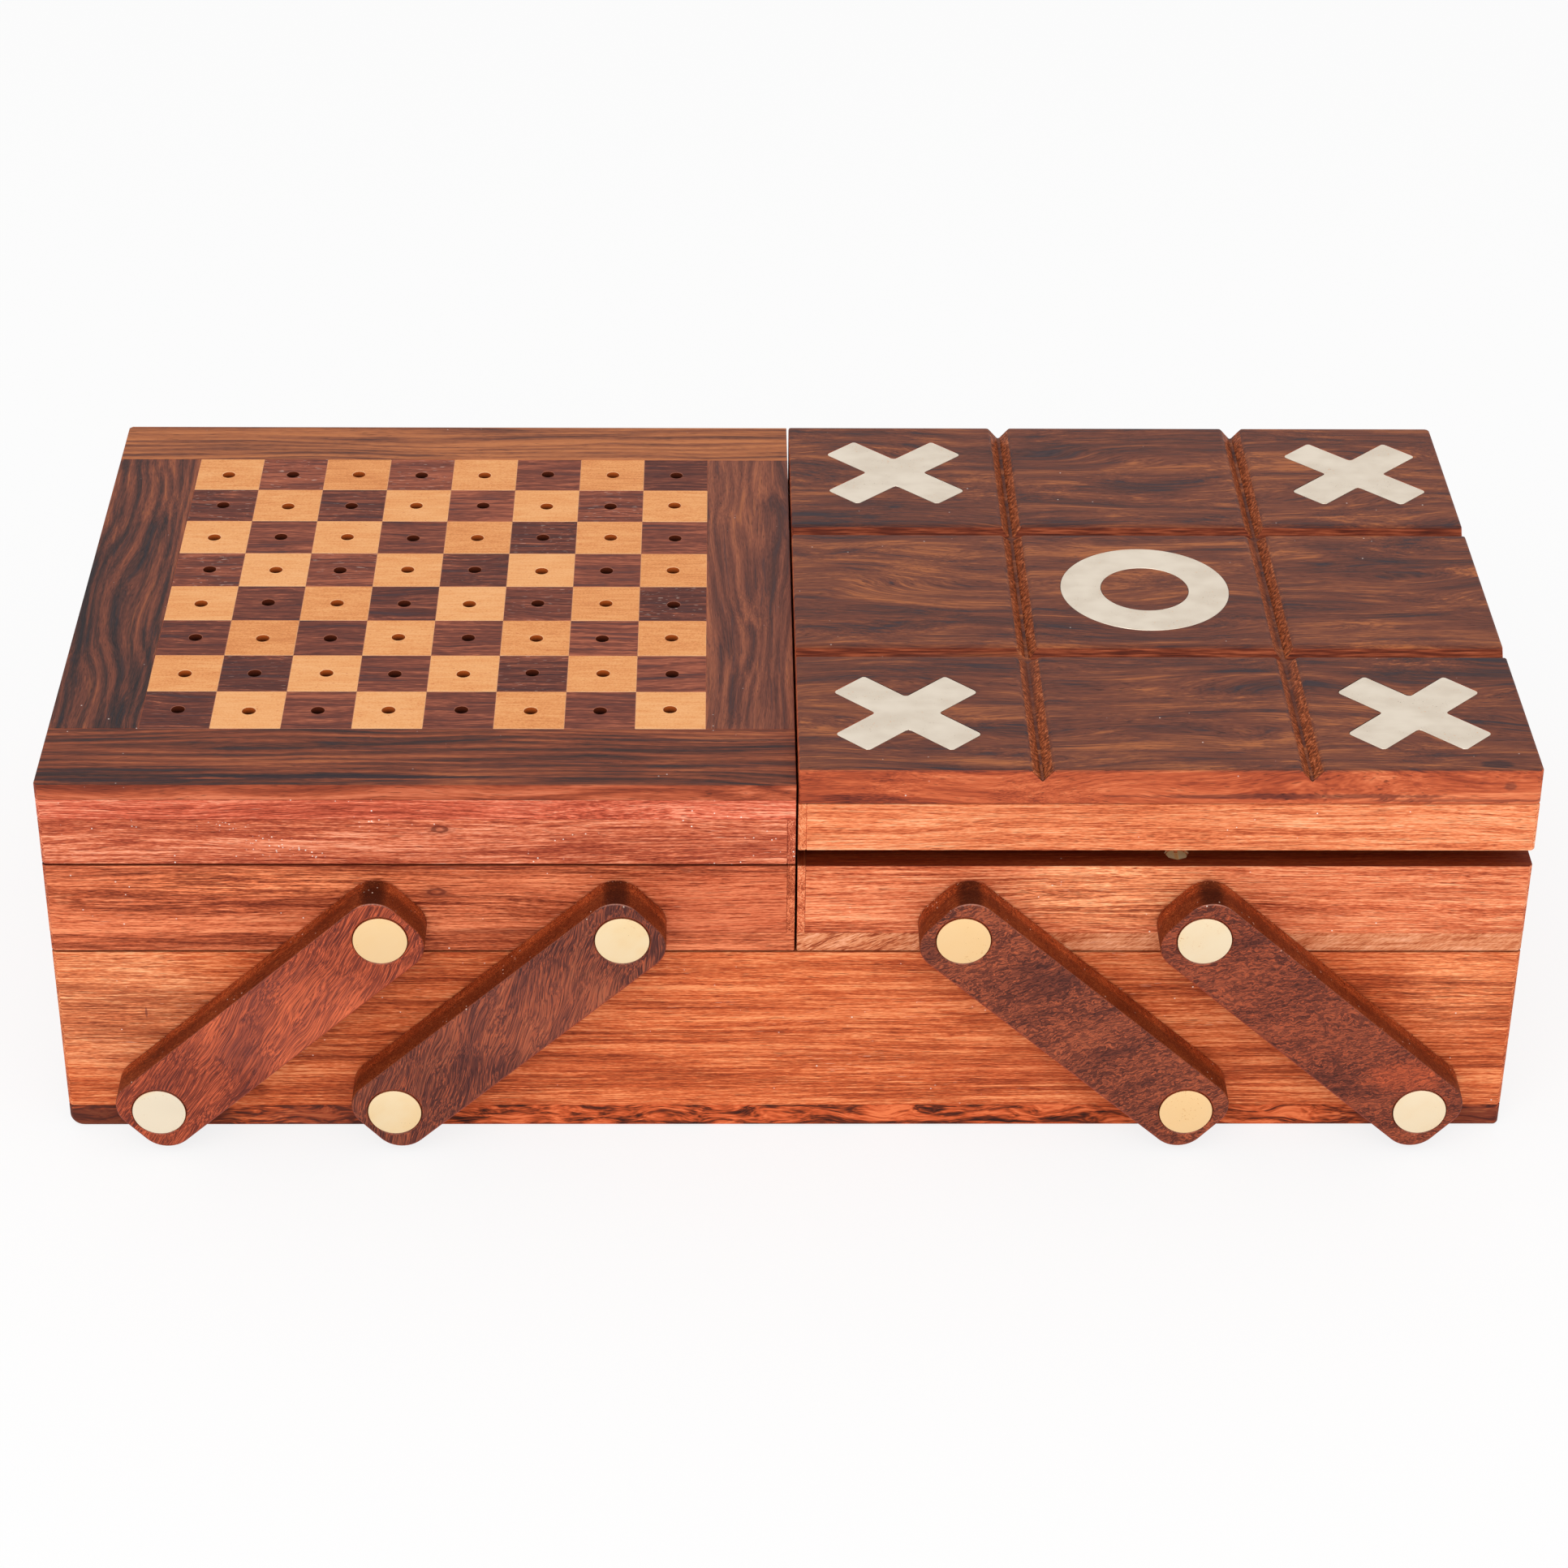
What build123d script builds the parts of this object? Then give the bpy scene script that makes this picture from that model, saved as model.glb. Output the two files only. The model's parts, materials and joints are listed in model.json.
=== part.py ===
from build123d import *
import math
import os

# A wooden games compendium box. An open base carries two lidded trays side by side, and each
# tray hangs on four arms, two in front and two behind, that swing it up and out of the way.
# The left lid is a peg chessboard, and the right lid is a noughts and crosses board.
# Millimetres. X runs along the front, Y to the back, Z up. The origin is the middle of the
# base's underside. The right lid stands ajar, and everything else is closed.

# The whole box
LENGTH = 254.0
DEPTH = 128.4
BASE_HEIGHT = 38.0
TRAY_HEIGHT = 17.8
LID_HEIGHT = 16.1
SEAM = 0.2                  # between base and tray, and between tray and lid
HALF_GAP = 0.4              # between the two halves
HALF_OFFSET = 1.2           # that gap's middle stands right of the box's middle
LID_AJAR = 1.27             # degrees that the right lid is raised

# Boards
WALL = 8.0
LIP = 1.4                   # thin skin of an inner end board that laps a front or back board's end
BASE_BOARD = 4.7
TRAY_BOARD = 3.8
EASE = 0.6                  # taken off the upright outer corners and the base's lower edge
WORN_CORNER = 2.4           # radius of the base's lower left edge

# Chess lid
INLAID_LAYER = 3.0          # border and squares
BACKING_BOARD = 4.0
SQUARE = 12.16
SQUARES = 8
FRONT_RAIL = 17.8
LEFT_STILE = 15.4
PEG_RADIUS = 1.2            # holes through the squares
PEG_SIDES = 8

# Noughts and crosses lid
PLANK = 6.9
GROOVE_WIDTH = 4.05
GROOVE_DEPTH = 2.3
CELL = 45.5                 # between the middles of two grooves
GRID_SHIFT = (1.0, -1.2)    # grid's middle from the plank's middle
CROSSES = (                 # x and y from the plank's middle, and length, as cut by hand
    (-43.9, -45.4, 28.0),
    (43.5, -45.2, 27.6),
    (-42.7, 44.9, 29.2),
    (45.4, 44.7, 28.6),
)
CROSS_BAR = 8.0
CROSS_CORNER = 0.7          # taken off the corners of its tips
NOUGHT_OUTER = 15.35        # radius
NOUGHT_INNER = 7.9          # radius
INLAY = 1.0                 # thickness of the brass sheet

# Arms and the pins that they turn on
ARM_ANGLE = 42.3            # degrees above level when closed
ARM_WIDTH = 15.2
ARM_THICKNESS = 7.6
ARM_END = 6.0               # wood beyond the pin's middle
ARM_CORNER = 5.0
ARM_GAP = 0.3               # between arm and box
BASE_PIN_HEIGHT = 9.2
TRAY_PIN_DEPTH = 10.2       # below the tray's rim
PIN_PITCH = 41.1            # between the two arms of a pair
PIN_LEAD = 14.0             # a tray's pair of pins, from the half's middle towards the gap
PIN_HEAD_RADIUS = 4.65
PIN_HEAD = 2.4
PIN_RADIUS = 2.0
PIN_SEAT = 6.5              # driven into the wall
RUNNING_FIT = 0.08          # radial, round a pin's head and shank
END_PLAY = 0.1              # under a pin's head
SINK_SIDES = 12             # of the sinking that a pin's round head turns in
SMALL_SIDES = 8             # of shanks, barrels and other small round things, and their bores

# Brass butt hinges, two to a lid
HINGE_LENGTH = 16.0
HINGE_INSET = 27.0          # hinge's middle from the end of its half
LEAF_DEPTH = 6.0
LEAF = 0.8
KNUCKLE_RADIUS = 1.3
KNUCKLE_GAP = 0.15
HINGE_PIN_RADIUS = 0.65
HINGE_PIN_FIT = 0.05        # radial
HINGE_STANDOFF = 0.2        # knuckle from the back wall

# Catch: a plated steel screw sunk in the tray's rim, and a magnet over it in the lid
CATCH_OFFSET = 2.2          # outwards of the half's middle
RECESS_RADIUS = 2.1
RECESS_DEPTH = 1.6
CATCH_HEAD_RADIUS = 1.8
CATCH_HEAD = 1.0
CATCH_SHANK_RADIUS = 0.9
CATCH_LENGTH = 6.0
MAGNET_RADIUS = 2.5
MAGNET = 2.0

# Heights and edges that follow
TRAY_Z = (BASE_HEIGHT + SEAM, BASE_HEIGHT + SEAM + TRAY_HEIGHT)
LID_Z = (TRAY_Z[1] + SEAM, TRAY_Z[1] + SEAM + LID_HEIGHT)
FRONT, BACK = -DEPTH / 2, DEPTH / 2
BASE_X = (-LENGTH / 2, LENGTH / 2)
HALF_X = {
    "left": (BASE_X[0], HALF_OFFSET - HALF_GAP / 2),
    "right": (HALF_OFFSET + HALF_GAP / 2, BASE_X[1]),
}
OUTWARD = {"left": -1, "right": 1}
ARM_RISE = TRAY_Z[1] - TRAY_PIN_DEPTH - BASE_PIN_HEIGHT
ARM_RUN = ARM_RISE / math.tan(math.radians(ARM_ANGLE))
ARM_REACH = math.hypot(ARM_RUN, ARM_RISE)   # pin to pin
HINGE_Y = BACK + HINGE_STANDOFF + KNUCKLE_RADIUS
HINGE_Z = TRAY_Z[1] + SEAM / 2


def slab(low, high):
    """A board between two opposite corners."""
    size = [top - bottom for bottom, top in zip(low, high)]
    return Pos(*low) * Box(*size, align=(Align.MIN, Align.MIN, Align.MIN))


def rod(radius, start, end, sides=None):
    """A bar between the middles of its two ends, round or with corners on the radius."""
    along = Vector(*end) - Vector(*start)
    section = RegularPolygon(radius, sides) if sides else Circle(radius)
    return extrude(Plane(origin=start, z_dir=along) * section, along.length)


def corners_for(radius, sides):
    """Corner radius of a bore whose flats lie on the given radius."""
    return radius / math.cos(math.pi / sides)


def middle(span):
    return (span[0] + span[1]) / 2


def panel(x_span, z_span, outer_ends):
    """A board over the whole plan of the base or of a half, its outer upright corners eased."""
    board = slab((x_span[0], FRONT, z_span[0]), (x_span[1], BACK, z_span[1]))
    upright = board.edges().filter_by(Axis.Z).sort_by(Axis.X)
    corners = {"left": upright[:2], "right": upright[-2:]}
    return chamfer([edge for end in outer_ends for edge in corners[end]], EASE)


def four_walls(x_span, z_span, outer_ends):
    """Front and back boards that run out to the outer ends, and end boards between them.

    An inner end board is rebated instead, and its thin lips lap the front and back boards' ends.
    """
    (x0, x1), (z0, z1) = x_span, z_span
    start = x0 if "left" in outer_ends else x0 + LIP
    stop = x1 if "right" in outer_ends else x1 - LIP
    plan = panel(x_span, z_span, outer_ends)
    front = plan & slab((start, FRONT, z0), (stop, FRONT + WALL, z1))
    back = plan & slab((start, BACK - WALL, z0), (stop, BACK, z1))
    walls = {"front": front, "back": back}
    for side, x in (("left", x0), ("right", x1 - WALL)):
        walls[side] = slab((x, FRONT, z0), (x + WALL, BACK, z1)) - front - back
    for side in outer_ends:
        walls[side] &= plan
    return walls


# Pins and arms

def pin_places(half):
    """Middles (x, z) of a half's pins: those in the base and those in its tray, outer first."""
    outward = OUTWARD[half]
    tray_x = middle(HALF_X[half]) - outward * PIN_LEAD
    base_x = tray_x + outward * ARM_RUN
    step = outward * PIN_PITCH / 2
    base = [(base_x + step, BASE_PIN_HEIGHT), (base_x - step, BASE_PIN_HEIGHT)]
    tray = [(x - outward * ARM_RUN, z + ARM_RISE) for x, z in base]
    return base, tray


def pivot_pin(place, face):
    """Brass pin driven into a wall, with its broad head flush with the arm's outer face."""
    x, z = place
    arm_face = face * (DEPTH / 2 + ARM_GAP + ARM_THICKNESS)
    under_head = arm_face - face * PIN_HEAD
    tip = face * (DEPTH / 2 - PIN_SEAT)
    head = rod(PIN_HEAD_RADIUS, (x, arm_face, z), (x, under_head, z))
    return head + rod(PIN_RADIUS, (x, under_head, z), (x, tip, z), SMALL_SIDES)


def arm(base_pin, tray_pin, face):
    """Wooden link with squarish round ends, bored for its pins and sunk for their heads."""
    (x0, z0), (x1, z1) = base_pin, tray_pin
    inner_y = face * (DEPTH / 2 + ARM_GAP)
    outer_y = inner_y + face * ARM_THICKNESS
    side = Plane(
        origin=((x0 + x1) / 2, inner_y, (z0 + z1) / 2),
        x_dir=(x1 - x0, 0, z1 - z0),
        z_dir=(0, face, 0),
    )
    outline = RectangleRounded(ARM_REACH + 2 * ARM_END, ARM_WIDTH, ARM_CORNER)
    link = extrude(side * outline, ARM_THICKNESS)
    bore = corners_for(PIN_RADIUS + RUNNING_FIT, SMALL_SIDES)
    sinking = corners_for(PIN_HEAD_RADIUS + RUNNING_FIT, SINK_SIDES)
    seat_y = outer_y - face * (PIN_HEAD + END_PLAY)
    for x, z in (base_pin, tray_pin):
        link -= rod(bore, (x, inner_y, z), (x, outer_y, z), SMALL_SIDES)
        link -= rod(sinking, (x, seat_y, z), (x, outer_y, z), SINK_SIDES)
    return link


# Hinges

def hinge_places(half):
    return [HALF_X[half][0] + HINGE_INSET, HALF_X[half][1] - HINGE_INSET]


def hinge_knuckles(x):
    """Spans along X of one hinge's three knuckles; the middle one belongs to the lid."""
    half, quarter = HINGE_LENGTH / 2, HINGE_LENGTH / 4
    play = KNUCKLE_GAP / 2
    return (
        (x - half, x - quarter - play),
        (x - quarter + play, x + quarter - play),
        (x + quarter + play, x + half),
    )


def along_hinge(radius, span, sides=SMALL_SIDES):
    start, end = [(x, HINGE_Y, HINGE_Z) for x in span]
    return rod(radius, start, end, sides)


def leaf_plate(span, up, front_edge):
    """Flat of a leaf, let in flush with the tray's rim (up = -1) or the lid's (up = 1)."""
    rim = HINGE_Z + up * SEAM / 2
    deep = rim + up * LEAF
    return slab((span[0], front_edge, min(rim, deep)), (span[1], HINGE_Y, max(rim, deep)))


def hinge_plate(x, up):
    return leaf_plate((x - HINGE_LENGTH / 2, x + HINGE_LENGTH / 2), up, BACK - LEAF_DEPTH)


def hinge_leaf(x, up):
    """Leaf with its own knuckles rolled on and notches for the other leaf's."""
    first, centre, last = hinge_knuckles(x)
    own, other = ([centre], [first, last]) if up > 0 else ([first, last], [centre])
    leaf = hinge_plate(x, up)
    for span in other:
        room = (span[0] - KNUCKLE_GAP, span[1] + KNUCKLE_GAP)
        leaf -= leaf_plate(room, up, HINGE_Y - KNUCKLE_RADIUS - KNUCKLE_GAP)
    for span in own:
        leaf += along_hinge(KNUCKLE_RADIUS, span)
    bore = corners_for(HINGE_PIN_RADIUS + HINGE_PIN_FIT, SMALL_SIDES)
    return leaf - along_hinge(bore, (first[0], last[1]))


# Catches

def catch_bar(half, radius, low, high):
    """Upright bar on a half's catch."""
    x = middle(HALF_X[half]) + OUTWARD[half] * CATCH_OFFSET
    y = FRONT + WALL / 2
    return rod(radius, (x, y, low), (x, y, high), SMALL_SIDES)


def catch_screw(half):
    """Cheese-head screw standing in its recess."""
    seat = TRAY_Z[1] - RECESS_DEPTH
    head = catch_bar(half, CATCH_HEAD_RADIUS, seat, seat + CATCH_HEAD)
    return head + catch_bar(half, CATCH_SHANK_RADIUS, seat - CATCH_LENGTH, seat)


# Base

def bottom_board():
    """Board over the base's whole plan, its outer edges eased and one lower edge worn round."""
    board = slab((BASE_X[0], FRONT, 0), (BASE_X[1], BACK, BASE_BOARD))
    lower = board.edges().filter_by(Axis.Y).sort_by(Axis.Z)[:2].sort_by(Axis.X)
    board = fillet(lower[0], WORN_CORNER)
    front_and_back = board.faces().filter_by(Axis.Y)
    outline = [edge for face in front_and_back for edge in face.edges().sort_by(Axis.Z)[:-1]]
    lower_right = board.edges().filter_by(Axis.Y).sort_by(Axis.Z)[:2].sort_by(Axis.X)[1]
    return chamfer(outline + [lower_right], EASE)


def base_parts():
    pins = [
        pivot_pin(place, face)
        for half in HALF_X
        for face in (-1, 1)
        for place in pin_places(half)[0]
    ]
    walls = four_walls(BASE_X, (BASE_BOARD, BASE_HEIGHT), ("left", "right"))
    parts = {f"base_{side}_wall": wall for side, wall in walls.items()}
    for pin in pins:
        name = "base_front_wall" if pin.center().Y < 0 else "base_back_wall"
        parts[name] -= pin
    parts["base_bottom_board"] = bottom_board()
    parts["base_pivot_pins"] = pins
    return parts


# Trays and lids

def half_names(half, level, walls):
    """Name the boards of one half, with its ends called outer and inner."""
    outer = "left" if OUTWARD[half] < 0 else "right"
    names = {"front": "front", "back": "back"}
    for side in ("left", "right"):
        names[side] = "outer" if side == outer else "inner"
    return {f"{half}_{level}_{names[side]}_wall": wall for side, wall in walls.items()}


def outer_end(half):
    return ["left" if OUTWARD[half] < 0 else "right"]


def tray_parts(half):
    z0, z1 = TRAY_Z
    floor_top = z0 + TRAY_BOARD
    parts = half_names(half, "tray", four_walls(HALF_X[half], (floor_top, z1), outer_end(half)))
    pins = [pivot_pin(place, face) for face in (-1, 1) for place in pin_places(half)[1]]
    screw = catch_screw(half)
    recess = catch_bar(half, RECESS_RADIUS, z1 - RECESS_DEPTH, z1)
    front, back = f"{half}_tray_front_wall", f"{half}_tray_back_wall"
    parts[front] = parts[front] - recess - screw
    for pin in pins:
        parts[front if pin.center().Y < 0 else back] -= pin
    leaves, hinge_pins = [], []
    for x in hinge_places(half):
        first, _, last = hinge_knuckles(x)
        leaves.append(hinge_leaf(x, -1))
        hinge_pins.append(along_hinge(HINGE_PIN_RADIUS, (first[0], last[1]), sides=None))
        parts[back] -= hinge_plate(x, -1)
    parts[f"{half}_tray_floor"] = panel(HALF_X[half], (z0, floor_top), outer_end(half))
    parts[f"{half}_tray_pivot_pins"] = pins
    parts[f"{half}_tray_hinge_leaves"] = leaves
    parts[f"{half}_hinge_pins"] = hinge_pins
    parts[f"{half}_catch_screw"] = screw
    return parts


def lid_frame(half, wall_top):
    """The four walls, hinge leaves and magnet that both lids have."""
    walls = four_walls(HALF_X[half], (LID_Z[0], wall_top), outer_end(half))
    parts = half_names(half, "lid", walls)
    back, front = f"{half}_lid_back_wall", f"{half}_lid_front_wall"
    leaves = []
    for x in hinge_places(half):
        leaves.append(hinge_leaf(x, 1))
        parts[back] -= hinge_plate(x, 1)
    magnet = catch_bar(half, MAGNET_RADIUS, LID_Z[0], LID_Z[0] + MAGNET)
    parts[front] -= magnet
    parts[f"{half}_lid_hinge_leaves"] = leaves
    parts[f"{half}_lid_magnet"] = magnet
    return parts


def chess_lid():
    """Frame, a backing board over it, and an inlaid layer of border pieces and bored squares."""
    x0, x1 = HALF_X["left"]
    left = outer_end("left")
    top = LID_Z[1]
    layer = top - INLAID_LAYER
    backing = (layer - BACKING_BOARD, layer)
    board = SQUARE * SQUARES
    grid_x = x0 + LEFT_STILE
    grid_y = FRONT + FRONT_RAIL
    parts = lid_frame("left", backing[0])
    squares = {"light": [], "dark": []}
    half_square = SQUARE / 2
    blank = slab((-half_square, -half_square, layer), (half_square, half_square, top))
    blank -= rod(PEG_RADIUS, (0, 0, layer), (0, 0, top), PEG_SIDES)
    for column in range(SQUARES):
        for row in range(SQUARES):
            x = grid_x + half_square + column * SQUARE
            y = grid_y + half_square + row * SQUARE
            colour = "light" if (column + row) % 2 else "dark"
            squares[colour].append(Pos(x, y, 0) * blank)
    border = panel(HALF_X["left"], (layer, top), left)
    stiles = slab((x0, grid_y, layer), (x1, grid_y + board, top))
    opening = slab((grid_x, grid_y, layer), (grid_x + board, grid_y + board, top))
    parts["left_lid_backing_board"] = panel(HALF_X["left"], backing, left)
    parts["chess_border_rails"] = (border - stiles).solids()
    parts["chess_border_stiles"] = (stiles - opening).solids()
    parts["chess_light_squares"] = squares["light"]
    parts["chess_dark_squares"] = squares["dark"]
    return parts


def cross(length):
    """Outline of an X inlay, with the corners of its tips taken off."""
    bar = Rectangle(length, CROSS_BAR)
    bar = chamfer(bar.vertices(), CROSS_CORNER)
    return Rot(0, 0, 45) * bar + Rot(0, 0, -45) * bar


def noughts_lid():
    """Frame and a plank with V grooves that part it in nine cells, and brass marks let in."""
    x_span = HALF_X["right"]
    top = LID_Z[1]
    parts = lid_frame("right", top - PLANK)
    plank = panel(x_span, (top - PLANK, top), outer_end("right"))
    vee = make_face(
        Polyline((-GROOVE_WIDTH / 2, 0), (0, -GROOVE_DEPTH), (GROOVE_WIDTH / 2, 0), close=True)
    )
    centre = (middle(x_span), middle((FRONT, BACK)))
    grid = (centre[0] + GRID_SHIFT[0], centre[1] + GRID_SHIFT[1])
    for side in (-1, 1):
        x, y = [across + side * CELL / 2 for across in grid]
        lengthwise = Plane(origin=(x, FRONT, top), x_dir=(-1, 0, 0), z_dir=(0, 1, 0))
        crosswise = Plane(origin=(x_span[0], y, top), x_dir=(0, 1, 0), z_dir=(1, 0, 0))
        plank -= extrude(lengthwise * vee, DEPTH)
        plank -= extrude(crosswise * vee, x_span[1] - x_span[0])
    sunk = top - INLAY
    crosses = []
    for x, y, length in CROSSES:
        place = Pos(centre[0] + x, centre[1] + y, sunk)
        crosses.append(extrude(place * cross(length), INLAY))
    ring = Circle(NOUGHT_OUTER) - Circle(NOUGHT_INNER)
    ring = extrude(Pos(*grid, sunk) * ring, INLAY)
    for mark in (*crosses, ring):
        plank -= mark
    parts["right_lid_plank"] = plank
    parts["cross_inlays"] = crosses
    parts["nought_inlay"] = ring
    hinge_line = Axis((0, HINGE_Y, HINGE_Z), (-1, 0, 0))
    return {name: raise_lid(part, hinge_line) for name, part in parts.items()}


def raise_lid(part, hinge_line):
    """Turn a piece of the right lid, or a list of them, to where the lid stands ajar."""
    if isinstance(part, list):
        return [piece.rotate(hinge_line, LID_AJAR) for piece in part]
    return part.rotate(hinge_line, LID_AJAR)


def arm_parts():
    parts = {}
    for half in HALF_X:
        base, tray = pin_places(half)
        for place, face in (("front", -1), ("back", 1)):
            for rank, base_pin, tray_pin in zip(("outer", "inner"), base, tray):
                parts[f"{half}_{place}_{rank}_arm"] = arm(base_pin, tray_pin, face)
    return parts


os.makedirs("parts", exist_ok=True)
NODES = {
    **base_parts(),
    **tray_parts("left"),
    **tray_parts("right"),
    **chess_lid(),
    **noughts_lid(),
    **arm_parts(),
}
for name, piece in NODES.items():
    solids = piece if isinstance(piece, list) else piece.solids()
    export_step(Compound(children=list(solids)), f"parts/{name}.step")
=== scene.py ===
import json
import math

import bmesh
import bpy
from mathutils import Matrix, Vector


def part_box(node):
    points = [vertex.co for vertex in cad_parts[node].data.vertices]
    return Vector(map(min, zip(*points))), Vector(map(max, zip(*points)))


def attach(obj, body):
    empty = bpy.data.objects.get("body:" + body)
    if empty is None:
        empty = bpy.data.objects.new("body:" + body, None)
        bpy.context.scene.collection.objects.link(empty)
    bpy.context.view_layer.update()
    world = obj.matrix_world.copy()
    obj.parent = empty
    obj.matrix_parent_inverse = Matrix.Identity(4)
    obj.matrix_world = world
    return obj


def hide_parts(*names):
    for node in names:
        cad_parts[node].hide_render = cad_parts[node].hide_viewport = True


# A wooden games compendium box: an open base, and two lidded trays that swing up on wooden arms.
# The left lid is a peg chessboard and the right lid is a noughts and crosses board.
# Metres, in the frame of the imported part. Sizes are written in millimetres, times MM.
MM = 0.001

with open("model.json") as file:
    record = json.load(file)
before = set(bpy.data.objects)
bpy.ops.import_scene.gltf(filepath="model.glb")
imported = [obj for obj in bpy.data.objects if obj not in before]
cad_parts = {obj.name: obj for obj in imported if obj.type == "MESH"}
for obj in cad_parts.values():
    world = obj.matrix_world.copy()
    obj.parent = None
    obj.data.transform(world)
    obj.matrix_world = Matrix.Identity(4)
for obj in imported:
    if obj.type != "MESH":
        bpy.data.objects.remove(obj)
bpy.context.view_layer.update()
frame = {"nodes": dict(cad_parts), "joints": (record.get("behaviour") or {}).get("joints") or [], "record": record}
body_of = {
    node: body
    for body, nodes in frame["record"]["behaviour"]["bodies"].items()
    for node in nodes
}


# ---- Base ----
# Four boards of orange-red rosewood and a darker bottom board, glued up, planed and oiled. The front
# and back boards run past the end boards, and all edges are just broken with sandpaper.

def tint(red, green, blue):
    """A colour of 0 to 255 a channel, as the shaders take it."""
    def linear(level):
        share = level / 255
        return share / 12.92 if share <= 0.04045 else ((share + 0.055) / 1.055) ** 2.4
    return (linear(red), linear(green), linear(blue), 1.0)


class Shade:
    """A socket of a material's nodes. Sums written with it add the Math nodes that work them out."""

    def __init__(self, tree, socket=None):
        self.tree = tree
        self.socket = socket

    def node(self, kind, settings=None, sockets=None, outlet=0):
        """Add a node: its settings first, then the values or links of its sockets."""
        made = self.tree.nodes.new("ShaderNode" + kind)
        for name, value in (settings or {}).items():
            if name == "stops":
                ramp = made.color_ramp.elements
                while len(ramp) < len(value):
                    ramp.new(0.5)
                for element, (position, colour) in zip(ramp, value):
                    element.position = position
                    element.color = colour
            else:
                setattr(made, name, value)
        for key, value in (sockets or {}).items():
            if isinstance(key, int):
                socket = made.inputs[key]
            else:
                socket = next(s for s in made.inputs if key in (s.identifier, s.name))
            if isinstance(value, Shade):
                self.tree.links.new(value.socket, socket)
            else:
                socket.default_value = value
        if isinstance(outlet, int):
            return Shade(self.tree, made.outputs[outlet])
        return Shade(self.tree, next(s for s in made.outputs if outlet in (s.identifier, s.name)))

    def maths(self, operation, *others):
        return self.node("Math", {"operation": operation}, dict(enumerate((self, *others))))

    def __add__(self, other):
        return self.maths("ADD", other)

    __radd__ = __add__

    def __mul__(self, other):
        return self.maths("MULTIPLY", other)

    __rmul__ = __mul__

    def __sub__(self, other):
        return self.maths("SUBTRACT", other)

    def __rsub__(self, other):
        return self.node("Math", {"operation": "SUBTRACT"}, {0: other, 1: self})

    def __abs__(self):
        return self.maths("ABSOLUTE")

    def rise(self, low, high):
        """0 up to low, 1 from high, smooth between them; high may be the lower of the two."""
        ends = {"Value": self, "From Min": low, "From Max": high}
        return self.node("MapRange", {"interpolation_type": "SMOOTHSTEP"}, ends)

    def near(self, value, reach):
        """1 where this is the value, down to 0 a reach away from it: thin lines along a noise."""
        return abs(self - value).rise(reach, 0.0)

    def blend(self, first, second):
        """The first colour where this is 0, and the second where it is 1."""
        colours = {"Factor_Float": self, "A_Color": first, "B_Color": second}
        return self.node("Mix", {"data_type": "RGBA"}, colours, "Result_Color")

    def ramp(self, stops):
        return self.node("ValToRGB", {"stops": stops}, {"Fac": self})

    def vector(self, operation, *others):
        return self.node("VectorMath", {"operation": operation}, dict(enumerate((self, *others))))

    def part(self, axis):
        return self.node("SeparateXYZ", {}, {0: self}, axis)

    def away_from(self, middle, size):
        """How far this place is from a spot of this size, in half sizes; 0 in a size is no limit."""
        halves = tuple(2 / side if side else 0.0 for side in size)
        spread = self.vector("SUBTRACT", middle).vector("MULTIPLY", halves)
        return spread.node("VectorMath", {"operation": "LENGTH"}, {0: spread}, "Value")

    def streaks(self, length, width, detail=2.0):
        """Noise whose lumps are this long in X and this wide across, in millimetres."""
        drawn = self.vector("MULTIPLY", (1 / length, 1 / width, 1 / width))
        sockets = {"Vector": drawn, "Scale": 1.0, "Detail": detail, "Roughness": 0.55}
        return self.node("TexNoise", {}, sockets, "Fac")

    def wandered(self, length, width, reach):
        """This place moved about across X by up to about the reach, so that lines run wavy."""
        drawn = self.vector("MULTIPLY", (1 / length, 1 / width, 1 / width))
        sockets = {"Vector": drawn, "Scale": 1.0, "Detail": 1.0}
        lumps = self.node("TexNoise", {}, sockets, "Color")
        return lumps.vector("MULTIPLY_ADD", (0.0, 2 * reach, 2 * reach), self)

    def dust(self, apart, size, share):
        """Small round grains, about this far apart where they lie; only a share of them is there."""
        sockets = {"Vector": self, "Scale": 1 / apart}
        grain = self.node("TexVoronoi", {}, sockets, "Distance")
        chance = self.node("TexVoronoi", {}, sockets, "Color").part("X")
        return grain.rise(size / apart, 0.6 * size / apart) * chance.rise(1 - share, 1.02 - share)


def new_finish(name):
    """A material, with the place and the normal on the piece that its nodes start from."""
    material = bpy.data.materials.new(name)
    material.use_nodes = True
    shade = Shade(material.node_tree)
    place = shade.node("TexCoord", {}, {}, "Object")
    normal = shade.node("TexCoord", {}, {}, "Normal")
    return material, place, normal


def lay_finish(material, colour, roughness, height=None, relief=0.0, gleam=0.5, metallic=0.0):
    """Feed a material's surface; the relief is in millimetres, for a height from 0 to 1."""
    shader = material.node_tree.nodes["Principled BSDF"]
    links = material.node_tree.links
    for socket, value in (("Base Color", colour), ("Roughness", roughness)):
        if isinstance(value, Shade):
            links.new(value.socket, shader.inputs[socket])
        else:
            shader.inputs[socket].default_value = value
    if height:
        bump = height.node("Bump", {}, {"Strength": 1.0, "Distance": relief * MM, "Height": height})
        links.new(bump.socket, shader.inputs["Normal"])
    shader.inputs["Specular IOR Level"].default_value = gleam
    shader.inputs["Metallic"].default_value = metallic
    return material


ALONG = {"X": (0.0, 0.0, 0.0), "Y": (0.0, 0.0, math.pi / 2)}
WOODS_APART = (131.7, 47.3, 71.9)       # from the wood of one seed to the next's


def grain_place(place, turn, seed):
    """The place in millimetres, with the grain turned to run along X and moved to its own wood."""
    shift = tuple(seed * apart for apart in WOODS_APART)
    sockets = {"Vector": place, "Scale": (1 / MM,) * 3, "Rotation": turn, "Location": shift}
    return place.node("Mapping", {}, sockets)


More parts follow.
